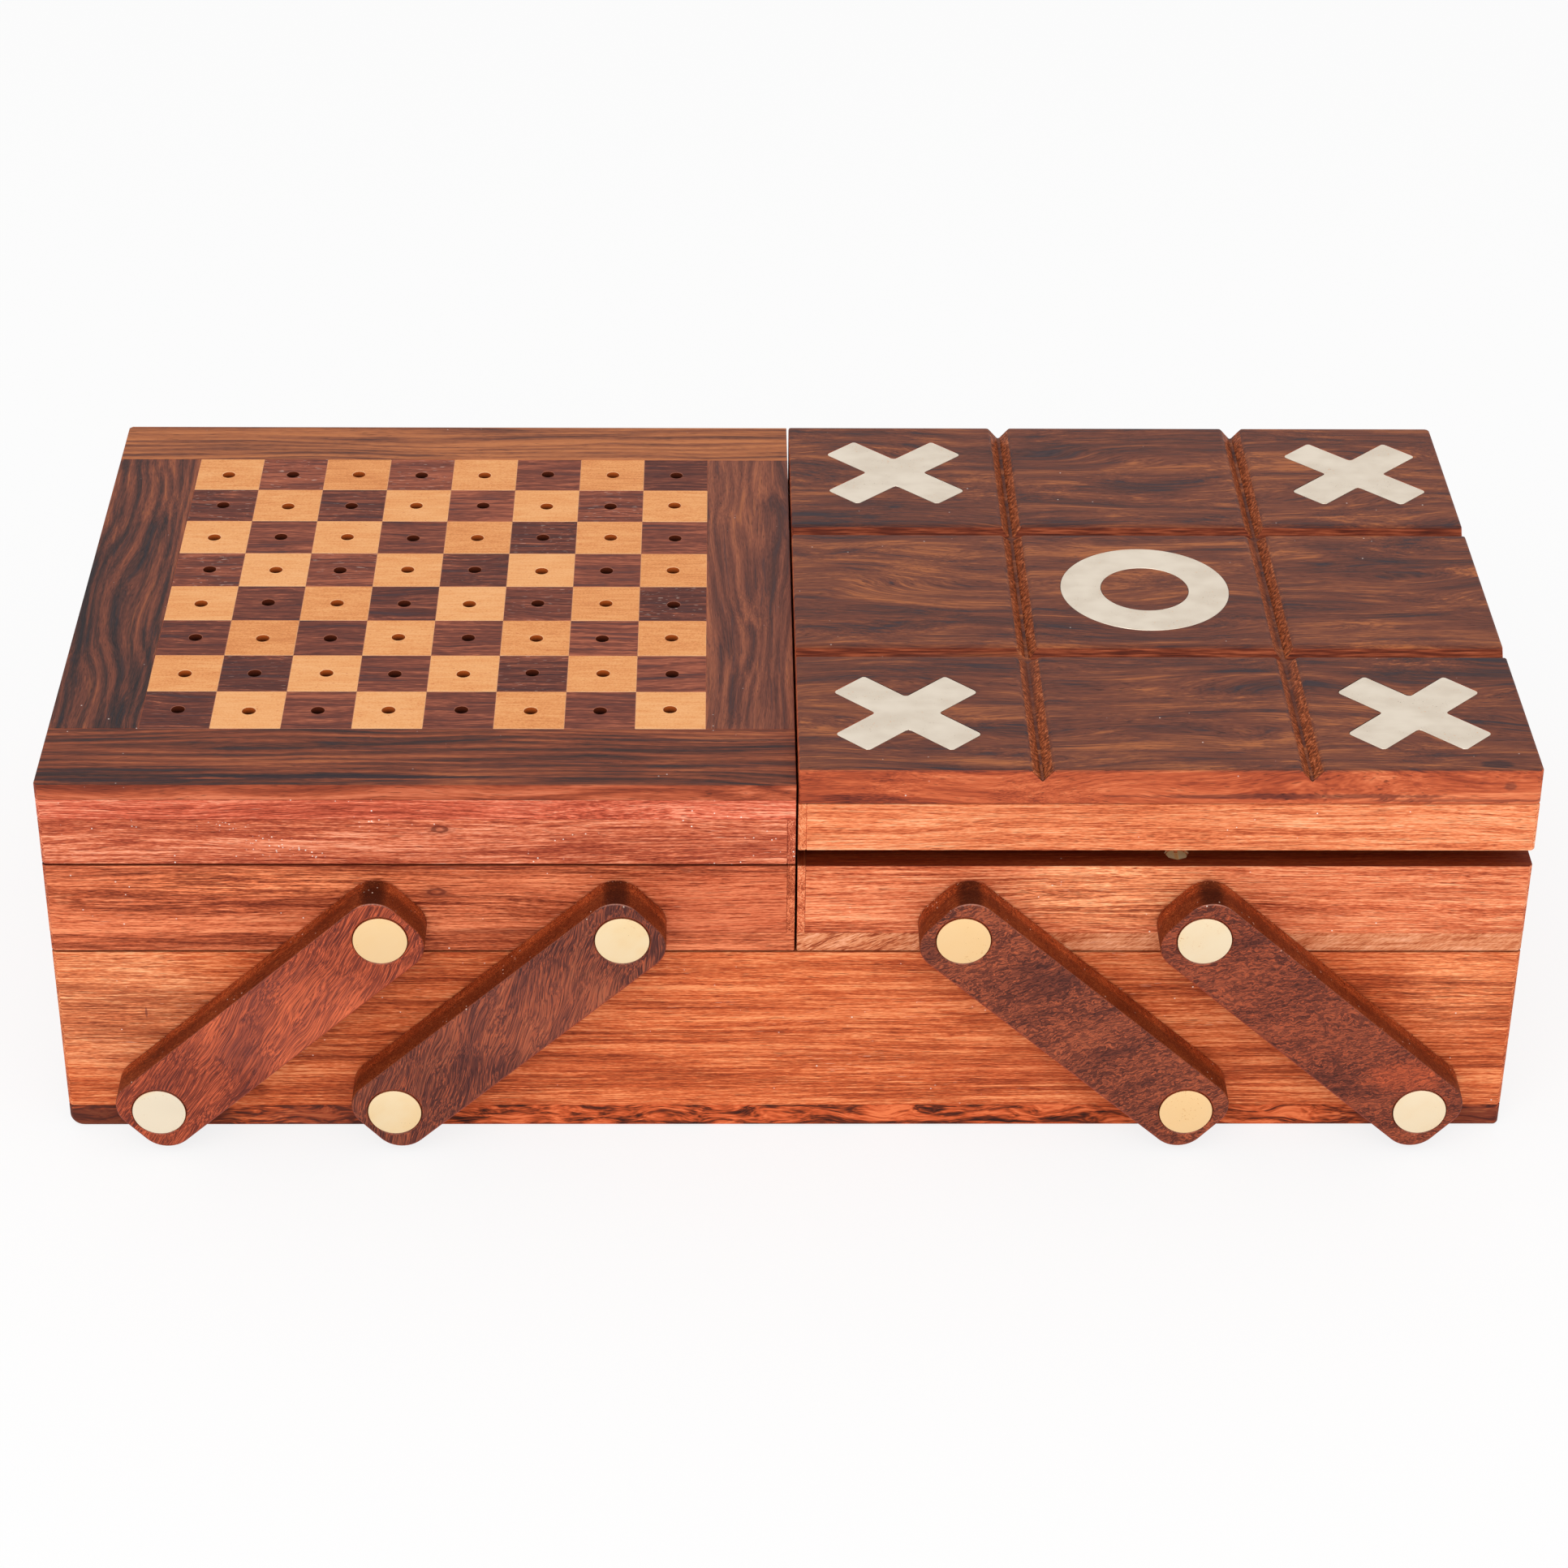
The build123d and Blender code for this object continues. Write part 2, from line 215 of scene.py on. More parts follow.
def site_of(place):
    """Where on the box a place is, in millimetres."""
    return grain_place(place, ALONG["X"], 0)


WOOD_GLEAM = 0.1
TONE_STOPS = (0.14, 0.38, 0.5, 0.62, 0.86)


def five_tones(value, tones):
    """Spread five colours, dark to pale, over a value whose middle is a half."""
    return value.ramp([(stop, tint(*tone)) for stop, tone in zip(TONE_STOPS, tones)])


def washed(colour, site, ragged, washes, base=None):
    """Lay soft patches, each of a middle, size, colour and strength; a base lets the grain show."""
    for middle, size, tone, strength in washes:
        away = site.away_from(middle, size) + 1.1 * ragged
        patch = tint(*tone)
        if base:
            change = [new / old for new, old in zip(patch, tint(*base))]
            patch = colour.vector("MULTIPLY", change[:3])
        colour = (away.rise(1.65, 1.1) * strength).blend(colour, patch)
    return colour


def red_wood(name, seed, tones, along="X", wander=1.2, lined=0.5, pale=0.3, flecks=0.05, knots=(),
             washes=(), rim=None, seams=(), dusty=()):
    """Orange-red rosewood: broad drifts, fine level growth lines, short dark pores and sanding dust."""
    material, place, normal = new_finish(name)
    site = site_of(place)
    wood = grain_place(place, ALONG[along], seed)
    wood = wood.wandered(60.0, 9.0, wander).wandered(8.0, 1.4, 0.15)
    drift = wood.streaks(90.0, 5.0)
    band = wood.streaks(48.0, 1.0)
    line = wood.streaks(26.0, 0.32, 2.0)
    thin = wood.streaks(7.0, 0.15, 2.0)
    fibre = wood.streaks(1.1, 0.13, 1.0)
    level = 0.8 * drift + 0.6 * band + 0.9 * line + 1.15 * thin + 0.8 * fibre - 1.625
    colour = five_tones(level, tones)
    colour = washed(colour, site, band, washes, tones[2])
    group = drift.rise(0.62, 0.42)
    dark_line = line.near(0.48, 0.07) * group * lined
    colour = dark_line.blend(colour, tint(*(0.7 * channel for channel in tones[0])))
    gleam = line.near(0.62, 0.05) * drift.rise(0.4, 0.62) * pale
    colour = gleam.blend(colour, tint(*tones[4]))
    pore = wood.streaks(3.0, 0.14, 0.0).rise(0.68, 0.78)
    colour = (pore * 0.5).blend(colour, tint(96, 34, 20))
    for x, z, wide, high in knots:
        away = site.away_from((x, 0.0, z), (wide, 0.0, high)) + 0.5 * fibre
        ring = (away * 8.0 + 4.0 * band).maths("SINE").rise(-0.5, 0.8)
        knot = away.rise(1.5, 1.0) * (0.3 + 0.55 * ring)
        colour = knot.blend(colour, tint(110, 46, 32))
    scuff = wood.streaks(3.6, 0.13, 1.0).rise(0.7, 0.76) * site.streaks(22.0, 7.0).rise(0.54, 0.66)
    colour = (scuff * 0.6).blend(colour, tint(250, 206, 178))
    # Painted shade: where tones are given, upward faces take them, for tops that lie in shadow.
    if rim:
        above = normal.part("Z").rise(0.8, 0.97)
        colour = above.blend(colour, five_tones(level, rim))
    swept = site.streaks(16.0, 7.0).rise(0.52, 0.62)
    colour = (site.dust(0.75, 0.17, flecks) * swept * 0.9).blend(colour, tint(255, 240, 228))
    for middle, size in dusty:
        heap = site.away_from(middle, size).rise(1.2, 0.3)
        colour = (site.dust(0.55, 0.16, 0.45) * heap * 0.9).blend(colour, tint(255, 240, 228))
    # Painted shade: a thin dark line along each seam, where the gap between two parts lies in shadow.
    for seam in seams:
        seam_shade = site.part("Z").near(seam, 0.42) * thin.rise(0.1, 0.4) * 0.85
        colour = seam_shade.blend(colour, tint(74, 24, 12))
    height = 0.5 * line + 0.3 * thin + 0.2 * fibre - pore * 0.7
    return lay_finish(material, colour, 0.62 - 0.12 * fibre, height, 0.04, WOOD_GLEAM)


def eased(shape, width, segments=2, sharper_than=30.0, kept=None):
    """Round over a shape's sharp edges, apart from those that are kept."""
    sharp = [
        edge for edge in shape.edges
        if edge.is_manifold and edge.calc_face_angle() > math.radians(sharper_than)
        and not (kept and kept(edge))
    ]
    bmesh.ops.bevel(
        shape, geom=sharp, offset=width, affect="EDGES", segments=segments, profile=0.5,
        material=-1, clamp_overlap=True,
    )
    return shape


def made_object(shape, name, finish):
    """Put a shape into the scene with one material, its place in its mesh."""
    mesh = bpy.data.meshes.new(name)
    shape.to_mesh(mesh)
    shape.free()
    mesh.materials.append(finish)
    made = bpy.data.objects.new(name, mesh)
    bpy.context.scene.collection.objects.link(made)
    return made


def piece_from(shape, name, node, finish, smooth_to=None):
    """Make a shape a piece that stands for a node, takes the finish given and rides on its body."""
    bmesh.ops.recalc_face_normals(shape, faces=shape.faces)
    piece = made_object(shape, name, finish)
    if smooth_to:
        piece.data.shade_smooth()
        piece.data.set_sharp_from_angle(angle=math.radians(smooth_to))
    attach(piece, body_of[node])
    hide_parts(node)


SANDED = 0.22 * MM              # how far a board's edges are broken
SAME_POINT = 0.001 * MM


def planed(node, name, finish, ease=SANDED, kept=None):
    """A board of the frame with its sharp edges broken, apart from those that are kept."""
    bare = frame["nodes"][node].data.copy()
    if "custom_normal" in bare.attributes:
        bare.attributes.remove(bare.attributes["custom_normal"])
    shape = bmesh.new()
    shape.from_mesh(bare)
    bpy.data.meshes.remove(bare)
    bmesh.ops.remove_doubles(shape, verts=shape.verts, dist=SAME_POINT)
    flat = math.radians(0.5)
    bmesh.ops.dissolve_limit(shape, angle_limit=flat, verts=shape.verts, edges=shape.edges)
    shape.normal_update()
    piece_from(eased(shape, ease, kept=kept), name, node, finish)


BASE_TONES = ((136, 56, 30), (192, 86, 46), (210, 102, 57), (225, 117, 68), (250, 158, 104))
FRONT_WASHES = (
    ((-116.0, -64.2, 26.0), (40.0, 0.0, 30.0), (238, 148, 98), 0.5),
    ((-70.0, -64.2, 34.0), (60.0, 0.0, 8.0), (186, 82, 46), 0.15),
    # painted light: a paler patch that lifts the shade beside the left outer arm
    ((-84.0, -64.2, 30.0), (20.0, 0.0, 14.0), (222, 122, 86), 0.4),
    ((52.0, -64.2, 12.0), (60.0, 0.0, 8.0), (200, 90, 52), 0.25),
    ((117.0, -64.2, 30.0), (24.0, 0.0, 20.0), (244, 140, 88), 0.5),
    ((-111.7, -64.2, 25.1), (0.5, 0.0, 2.6), (120, 50, 40), 0.7),
)
BASE_SEAM = (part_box("base_front_wall")[1].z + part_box("left_tray_floor")[0].z) / 2 / MM
for side, grain, seed in (("front", "X", 1), ("back", "X", 2), ("left", "Y", 3), ("right", "Y", 4)):
    washes = FRONT_WASHES if side == "front" else ()
    finish = red_wood(
        f"base_{side}_rosewood", seed, BASE_TONES, grain, washes=washes, seams=(BASE_SEAM,)
    )
    planed(f"base_{side}_wall", f"base_{side}_board", finish)


def figured_wood(name, seed, tones, washes):
    """The bottom board's wood: flame-like orange patches between near-black swirls."""
    material, place, _ = new_finish(name)
    site = site_of(place)
    wood = grain_place(place, ALONG["X"], seed).wandered(12.0, 5.0, 2.4)
    swirl = wood.streaks(11.0, 1.2)
    line = wood.streaks(7.0, 0.35, 1.0)
    fibre = wood.streaks(1.5, 0.14, 0.0)
    level = 1.7 * swirl + 0.7 * line + 0.4 * fibre - 0.86
    colour = five_tones(level, tones)
    colour = washed(colour, site, line, washes)
    return lay_finish(material, colour, 0.6, line, 0.05, WOOD_GLEAM)


LOWER_TONES = ((46, 24, 20), (112, 48, 28), (168, 74, 38), (206, 92, 50), (238, 128, 78))
LOWER_WASHES = (
    ((-118.0, -64.2, 2.0), (56.0, 0.0, 8.0), (84, 42, 34), 0.85),
    ((118.0, -64.2, 2.0), (44.0, 0.0, 8.0), (72, 34, 32), 0.75),
    ((-80.0, -64.2, 2.0), (30.0, 0.0, 8.0), (96, 50, 42), 0.5),
)
finish = figured_wood("base_bottom_rosewood", 5, LOWER_TONES, LOWER_WASHES)
planed("base_bottom_board", "base_bottom_panel", finish)


# ---- Arms ----
# Eight links of dark, wavy-grained rosewood, cut to round ends, bored, and sunk for the pins' broad
# heads. Their faces are sanded flat, and their side edges are darker, most where they face up.

ARM_WIDTH = 15.2 * MM
ARM_THICKNESS = 7.6 * MM
ARM_END = 6.0 * MM              # wood beyond the pin's middle
ARM_CORNER = 5.0 * MM
ARM_EASE = 0.5 * MM
ARM_DARK_EDGE = 67.6            # from the box's middle line; the edge is darker in front of it
PIN_HEAD_RADIUS = 4.65 * MM
PIN_HEAD = 2.4 * MM
PIN_RADIUS = 2.0 * MM
PIN_TIP = 14.5 * MM             # driven end behind the head's face
PIN_TAPER = (0.4 * MM, 0.6 * MM)        # how much thinner that end is, and over what length
PIN_GAP = 0.08 * MM
HALVES = ("left", "right")
joint_at = {joint["child"]: Vector(joint["pos_m"]) for joint in frame["joints"]}
arms = {child: at for child, at in joint_at.items() if child.endswith("_arm")}
reach = {half: joint_at[f"{half}_tray"] - arms[f"{half}_front_outer_arm"] for half in HALVES}


def drawn_on(shape, edges, shift=(0, 0, 0), scale=1.0, about=(0, 0, 0)):
    """Draw a loop of edges on to a new one, moved and scaled about a point of its own plane."""
    made = bmesh.ops.extrude_edge_only(shape, edges=edges)["geom"]
    verts = [part for part in made if isinstance(part, bmesh.types.BMVert)]
    space = Matrix.Translation(-Vector(about))
    bmesh.ops.scale(shape, vec=(scale, scale, 1), space=space, verts=verts)
    bmesh.ops.translate(shape, vec=shift, verts=verts)
    new = set(verts)
    return [e for e in made if isinstance(e, bmesh.types.BMEdge) and set(e.verts) <= new]


def sheet(outline, height=0.0):
    """One flat face with an outline of (x, y) points."""
    shape = bmesh.new()
    shape.faces.new([shape.verts.new((x, y, height)) for x, y in outline])
    return shape


def round_corners(shape, radius, segments):
    """Round a sheet's corners."""
    bmesh.ops.bevel(
        shape, geom=shape.verts[:], offset=radius, affect="VERTICES", segments=segments, profile=0.5,
        material=-1,
    )


def arm_shape(base_pin, tray_pin, face):
    """A link with its middle at the origin of its own plane, then set between its two pins."""
    half_length = (tray_pin - base_pin).length / 2
    x, y = half_length + ARM_END, ARM_WIDTH / 2
    shape = sheet(((-x, -y), (x, -y), (x, y), (-x, y)))
    round_corners(shape, ARM_CORNER, 12)
    bmesh.ops.delete(shape, geom=shape.faces[:], context="FACES_ONLY")
    outline = shape.edges[:]
    bores = []
    for end in (-half_length, half_length):
        at = Matrix.Translation((end, 0, 0))
        rim = bmesh.ops.create_circle(shape, segments=40, radius=PIN_HEAD_RADIUS + PIN_GAP, matrix=at)
        bores.append((end, list({edge for vert in rim["verts"] for edge in vert.link_edges})))
    front = outline + [edge for _, rim in bores for edge in rim]
    bmesh.ops.triangle_fill(shape, use_beauty=True, edges=front, normal=(0, 0, 1))
    back = drawn_on(shape, outline, (0, 0, -ARM_THICKNESS))
    for end, rim in bores:
        seat = drawn_on(shape, rim, (0, 0, -PIN_HEAD - PIN_GAP))
        bore = drawn_on(shape, seat, scale=(PIN_RADIUS + PIN_GAP) / PIN_HEAD_RADIUS, about=(end, 0, 0))
        back += drawn_on(shape, bore, (0, 0, PIN_HEAD + PIN_GAP - ARM_THICKNESS))
    bmesh.ops.triangle_fill(shape, use_beauty=True, edges=back, normal=(0, 0, -1))
    bmesh.ops.recalc_face_normals(shape, faces=shape.faces)
    eased(shape, ARM_EASE, 3, 50.0)
    out = Vector((0, face, 0))
    along = (tray_pin - base_pin).normalized()
    turn = Matrix((along, out.cross(along), out)).transposed().to_4x4()
    middle = (base_pin + tray_pin) / 2 + out * ARM_THICKNESS / 2
    bmesh.ops.transform(shape, matrix=Matrix.Translation(middle) @ turn, verts=shape.verts)
    return shape


def arm_wood(name, seed, lean, length, width, swirl, tones, glint, washes=()):
    """Dark rosewood with fine wavy lines that lean across the arm, and darker side edges."""
    material, place, normal = new_finish(name)
    site = site_of(place)
    wood = grain_place(place, (0.0, math.radians(lean), 0.0), seed)
    wood = wood.wandered(14.0, 6.0, 1.8).wandered(0.6 * length, 1.6, swirl)
    patch = wood.streaks(24.0, 5.0)
    streak = wood.streaks(1.3 * length, 2.0 * width, 1.0)
    line = wood.streaks(length, width, 1.0)
    fine = wood.streaks(0.35 * length, 0.13, 0.0)
    level = 1.0 * patch + 0.65 * streak + 0.6 * line + 0.45 * fine - 0.85
    colour = five_tones(level, tones)
    colour = washed(colour, site, streak, washes, tones[2])
    deepest = tint(*(0.62 * channel for channel in tones[0]))
    colour = (line.near(0.42, 0.05) * 0.6).blend(colour, deepest)
    bright = line.near(0.58, 0.06) * fine.rise(0.3, 0.5) * patch.rise(0.3, 0.5)
    colour = bright.blend(colour, tint(*glint))
    outward = abs(normal.part("Y"))
    above = normal.part("Z")
    out = abs(site.part("Y"))
    level = 1.2 * fine + 0.6 * streak + 0.6 * patch - 0.7
    # The side edges: darker towards the arm's face, and near-black where they face up at the round ends.
    edge = five_tones(level, ARM_EDGE_TONES)
    behind = out.rise(ARM_DARK_EDGE + 0.9, ARM_DARK_EDGE - 0.9)
    edge = (0.6 - 0.6 * behind).blend(edge, tint(78, 28, 12))
    edge = (above.rise(0.84, 0.99) * 0.75).blend(edge, tint(44, 16, 9))
    colour = outward.rise(0.75, 0.35).blend(colour, edge)
    rounded = outward.rise(0.3, 0.6) * outward.rise(0.995, 0.9)
    colour = (rounded * above.rise(-0.1, -0.3) * 0.5).blend(colour, tint(160, 66, 44))
    # Painted highlight: a pale line along the rounded front edge where it faces up.
    edge_highlight = rounded * above.rise(0.5, 0.95)
    colour = (edge_highlight * (0.2 + 0.6 * line)).blend(colour, tint(214, 164, 146))
    swept = site.streaks(12.0, 7.0).rise(0.5, 0.6) * above.rise(0.1, 0.5)
    colour = (site.dust(0.7, 0.15, 0.16) * swept * 0.8).blend(colour, tint(250, 226, 206))
    crumbs = site.dust(0.5, 0.17, 0.5) * above.rise(0.1, 0.5)
    crumbs = crumbs * out.rise(66.0, 65.0) * site.streaks(9.0, 9.0).rise(0.45, 0.55)
    colour = (crumbs * 0.8).blend(colour, tint(206, 138, 96))
    height = 0.6 * line + 0.4 * fine
    return lay_finish(material, colour, 0.55 - 0.1 * fine, height, 0.04, WOOD_GLEAM)


ARM_EDGE_TONES = ((84, 32, 14), (124, 50, 22), (146, 62, 28), (166, 74, 36), (206, 110, 60))
ARM_LOOKS = {
    "left_outer": {
        "lean": 60, "length": 11.0, "width": 0.19, "swirl": 0.12,
        "tones": ((90, 42, 38), (118, 53, 41), (136, 61, 44), (154, 70, 47), (186, 88, 58)),
        "glint": (208, 98, 64),
        "washes": (((-86.0, -72.0, 28.0), (42.0, 0.0, 26.0), (196, 98, 70), 0.5),),
    },
    "left_inner": {
        "lean": 76, "length": 10.0, "width": 0.2, "swirl": 0.2,
        "tones": ((66, 38, 38), (90, 48, 43), (106, 56, 46), (120, 64, 50), (148, 84, 62)),
        "glint": (178, 88, 58),
        "washes": (((-46.0, -72.0, 30.0), (40.0, 0.0, 24.0), (162, 86, 64), 0.45),),
    },
    "right_outer": {
        "lean": 8, "length": 2.2, "width": 0.3, "swirl": 0.6,
        "tones": ((72, 37, 32), (99, 49, 39), (114, 56, 42), (128, 63, 46), (160, 81, 55)),
        "glint": (184, 88, 55),
        "washes": (((108.0, -72.0, 17.0), (16.0, 0.0, 9.0), (186, 84, 52), 0.55),),
    },
    "right_inner": {
        "lean": 20, "length": 2.2, "width": 0.3, "swirl": 0.6,
        "tones": ((74, 40, 35), (103, 52, 41), (119, 60, 45), (134, 68, 49), (168, 88, 60)),
        "glint": (188, 94, 60),
    },
}
for seed, (arm, base_pin) in enumerate(arms.items(), 10):
    half, side, rank, _ = arm.split("_")
    finish = arm_wood(f"{arm}_rosewood", seed, **ARM_LOOKS[f"{half}_{rank}"])
    shape = arm_shape(base_pin, base_pin + reach[half], -1 if side == "front" else 1)
    piece_from(shape, arm.replace("arm", "link"), arm, finish, 40)


# ---- Pivot pins ----
# Brass pins turned with a broad flat head, which lies flush in the arm, and a thinner shank that is
# driven into the wall behind it. Polished with the arm's face, so they are finely scratched.

def turned(profile, steps=48):
    """Turn a profile of (radius, height) points, which starts and ends on the axis, about Z."""
    shape = bmesh.new()
    points = [shape.verts.new((radius, 0, height)) for radius, height in profile]
    for low, high in zip(points, points[1:]):
        shape.edges.new((low, high))
    bmesh.ops.spin(
        shape, geom=shape.verts[:] + shape.edges[:], axis=(0, 0, 1), cent=(0, 0, 0),
        angle=2 * math.pi, steps=steps, use_merge=True,
    )
    bmesh.ops.remove_doubles(shape, verts=shape.verts, dist=SAME_POINT)
    return shape


def gather(shape, copy, matrix):
    """Add a copy of a small shape to a larger one, at its place."""
    mesh = bpy.data.meshes.new("copy")
    copy.to_mesh(mesh)
    mesh.transform(matrix)
    shape.from_mesh(mesh)
    bpy.data.meshes.remove(mesh)


def brass(name, seed, pale, deep, roughness=0.3, grain=0.0, washes=(), metallic=1.0):
    """Dull-polished brass: cloudy, finely scratched one way, with a few dark pits."""
    material, place, _ = new_finish(name)
    metal = grain_place(place, (0.0, grain, 0.0), seed)
    cloud = metal.streaks(7.0, 5.0)
    scratch = metal.streaks(4.0, 0.09, 1.0)
    pit = metal.streaks(0.2, 0.2, 0.0).rise(0.8, 0.86) * cloud.rise(0.42, 0.56)
    colour = (cloud.rise(0.3, 0.7) * 0.8 + scratch * 0.2).blend(tint(*pale), tint(*deep))
    colour = washed(colour, site_of(place), cloud, washes)
    spot = metal.streaks(0.5, 0.5, 1.0).rise(0.66, 0.74) * cloud.rise(0.5, 0.65)
    colour = (spot * 0.5).blend(colour, tint(222, 160, 96))
    colour = (pit * 0.7).blend(colour, tint(120, 84, 50))
    rough = roughness + 0.14 * scratch + 0.2 * pit
    return lay_finish(material, colour, rough, scratch - pit, 0.006, metallic=metallic)


ROUND = 0.12 * MM
PIN_PROFILE = (
    (0, -PIN_TIP), (PIN_RADIUS - PIN_TAPER[0], -PIN_TIP), (PIN_RADIUS, -PIN_TIP + PIN_TAPER[1]),
    (PIN_RADIUS, -PIN_HEAD), (PIN_HEAD_RADIUS, -PIN_HEAD), (PIN_HEAD_RADIUS, -ROUND),
    (PIN_HEAD_RADIUS - 0.35 * ROUND, -0.3 * ROUND), (PIN_HEAD_RADIUS - ROUND, 0), (0, 0),
)
YELLOW = (255, 212, 154)
CREAM = (248, 234, 210)
PIN_SHADES = (
    ("left_front_outer_arm", 0, CREAM, 0.9), ("left_front_outer_arm", 1, YELLOW, 0.6),
    ("right_front_inner_arm", 0, YELLOW, 0.8), ("right_front_inner_arm", 1, YELLOW, 0.8),
    ("right_front_outer_arm", 0, CREAM, 0.45), ("right_front_outer_arm", 1, CREAM, 0.45),
)
PIN_WASHES = [
    (tuple((arms[arm] + end * reach[arm.split("_")[0]]) / MM), (16.0, 0.0, 16.0), tone, strength)
    for arm, end, tone, strength in PIN_SHADES
]
pin_brass = brass("pin_brass", 21, (255, 230, 188), (253, 220, 168), grain=0.7, washes=PIN_WASHES)


def pivot_pins(node, name, places):
    """A group of pins, whose heads' faces lie flush with the arms."""
    pin = turned(PIN_PROFILE)
    shape = bmesh.new()
    for place in places:
        face = math.copysign(1, place.y)
        turn = Matrix.Rotation(-face * math.pi / 2, 4, "X")
        head = Vector((place.x, place.y + face * ARM_THICKNESS / 2, place.z))
        gather(shape, pin, Matrix.Translation(head) @ turn)
    piece_from(shape, name, node, pin_brass, 35)


pivot_pins("base_pivot_pins", "base_pins", arms.values())
for half in HALVES:
    ends = [at + reach[half] for arm, at in arms.items() if arm.startswith(half)]
    pivot_pins(f"{half}_tray_pivot_pins", f"{half}_tray_pins", ends)


# ---- Trays ----
# Four boards round a thin floor board, glued up like the base. The rim takes the hinge leaves at
# the back and a catch screw in a small round recess at the front.

TRAY_TONES = {
    "left": ((116, 44, 26), (182, 85, 51), (207, 104, 65), (224, 120, 79), (246, 150, 104)),
    "right": ((140, 54, 30), (204, 98, 60), (223, 116, 74), (238, 134, 89), (255, 174, 127)),
}
TRAY_KNOT = (-60.3, 50.5, 5.0, 2.4)
# Painted light: a paler patch on the right tray's front that lifts the shade falling there.
RIGHT_TRAY_PAINTED_LIGHT = ((56.0, -64.2, 50.0), (44.0, 0.0, 16.0), (255, 156, 102), 0.6)
TRAY_WASHES = (
    ((-112.0, -64.2, 40.0), (40.0, 0.0, 3.6), (92, 42, 36), 0.75),
    ((-40.0, -64.2, 42.0), (56.0, 0.0, 3.4), (120, 46, 26), 0.6),
    ((-88.0, -64.2, 52.5), (60.0, 0.0, 7.0), (238, 130, 82), 0.75),
    ((-12.0, -64.2, 47.0), (48.0, 0.0, 24.0), (186, 82, 50), 0.55),
)


def middle_of(node):
    low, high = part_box(node)
    return (low + high) / 2


catch = middle_of("right_catch_screw") / MM
rim_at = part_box("right_tray_front_wall")[1].z / MM
CATCH_WASH = ((catch.x, catch.y, rim_at), (7.4, 7.4, 1.6), (240, 184, 138), 0.9)
# Painted shade: the dark tones of the tray's rim, which lies in the shade under its lid.
RIM_SHADE_TONES = ((104, 26, 6), (134, 42, 10), (150, 54, 14), (168, 68, 24), (206, 100, 52))
LID_SEAM = (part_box("left_tray_front_wall")[1].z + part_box("left_lid_front_wall")[0].z) / 2 / MM
FLOOR_TONES = ((150, 66, 34), (196, 106, 66), (214, 130, 88), (226, 146, 102), (246, 172, 134))


def floor_wood(name, seed, tones):
    """Tan board: its sawn edge shows short red-brown dashes that lean across it."""
    material, place, _ = new_finish(name)
    wood = grain_place(place, (0.0, math.radians(24), 0.0), seed).wandered(5.0, 2.0, 0.5)
    cloud = wood.streaks(9.0, 2.4)
    dash = wood.streaks(2.4, 0.34, 1.0)
    fibre = wood.streaks(0.8, 0.14, 0.0)
    colour = five_tones(0.8 * cloud + 1.0 * dash + 0.6 * fibre - 0.7, tones)
    plain = site_of(place).part("X").rise(36.0, 46.0)
    level_line = grain_place(place, ALONG["X"], seed).streaks(14.0, 0.5)
    level = 0.8 * cloud + 0.5 * fibre + 1.3 * level_line - 0.8
    colour = (plain * 0.7).blend(colour, five_tones(level, tones))
    colour = (dash.rise(0.42, 0.33) * (0.6 - 0.45 * plain)).blend(colour, tint(128, 48, 26))
    return lay_finish(material, colour, 0.62, dash + fibre, 0.05, WOOD_GLEAM)


SIDES = (("front", "X"), ("back", "X"), ("outer", "Y"), ("inner", "Y"))
for half, seed in (("left", 30), ("right", 40)):
    for turn, (side, grain) in enumerate(SIDES):
        knots = (TRAY_KNOT,) if (half, side) == ("left", "front") else ()
        washes = TRAY_WASHES if half == "left" else (CATCH_WASH, RIGHT_TRAY_PAINTED_LIGHT)
        finish = red_wood(
            f"{half}_tray_{side}_rosewood", seed + turn, TRAY_TONES[half], grain, 2.0, knots=knots,
            washes=washes if side == "front" else (), rim=RIM_SHADE_TONES, seams=(BASE_SEAM, LID_SEAM),
        )
        planed(f"{half}_tray_{side}_wall", f"{half}_tray_{side}_board", finish)
finish = red_wood("left_floor_rosewood", 34, TRAY_TONES["left"], seams=(BASE_SEAM,))
planed("left_tray_floor", "left_tray_floor_board", finish)
finish = floor_wood("right_floor_wood", 44, FLOOR_TONES)
planed("right_tray_floor", "right_tray_floor_board", finish)


# ---- Lids' frames ----
# Four boards like the tray's, glued up and sanded in the same way. The back board takes the upper
# hinge leaves in its lower edge, and the front board has a magnet pressed up into it.

LID_TONES = {
    "left": ((134, 52, 34), (184, 84, 56), (207, 106, 71), (226, 126, 89), (252, 168, 132)),
    "right": ((178, 80, 46), (228, 122, 76), (240, 140, 91), (247, 154, 105), (255, 184, 137)),
}
LID_KNOT = (-59.2, 63.4, 4.6, 2.2)
LID_DUST = (
    ((-88.4, -64.2, 60.3), (9.0, 0.0, 5.0)), ((-81.7, -64.2, 58.9), (7.0, 0.0, 4.0)),
    ((-70.4, -64.2, 64.4), (6.0, 0.0, 3.0)), ((-96.0, -64.2, 64.0), (10.0, 0.0, 2.0)),
)
for half, seed in (("left", 50), ("right", 60)):
    for turn, (side, grain) in enumerate(SIDES):
        shown = (half, side) == ("left", "front")
        finish = red_wood(
            f"{half}_lid_{side}_rosewood", seed + turn, LID_TONES[half], grain, 2.2, 0.2,
            flecks=0.2 if half == "left" else 0.05, knots=(LID_KNOT,) if shown else (),
            seams=(LID_SEAM,) if half == "left" else (), dusty=LID_DUST if shown else (),
        )
        planed(f"{half}_lid_{side}_wall", f"{half}_lid_{side}_board", finish)


# ---- Hinges ----
# Two small brass butt hinges to a lid: stamped leaves with rolled knuckles, let in flush and
# held by countersunk screws, on a drawn brass pin.

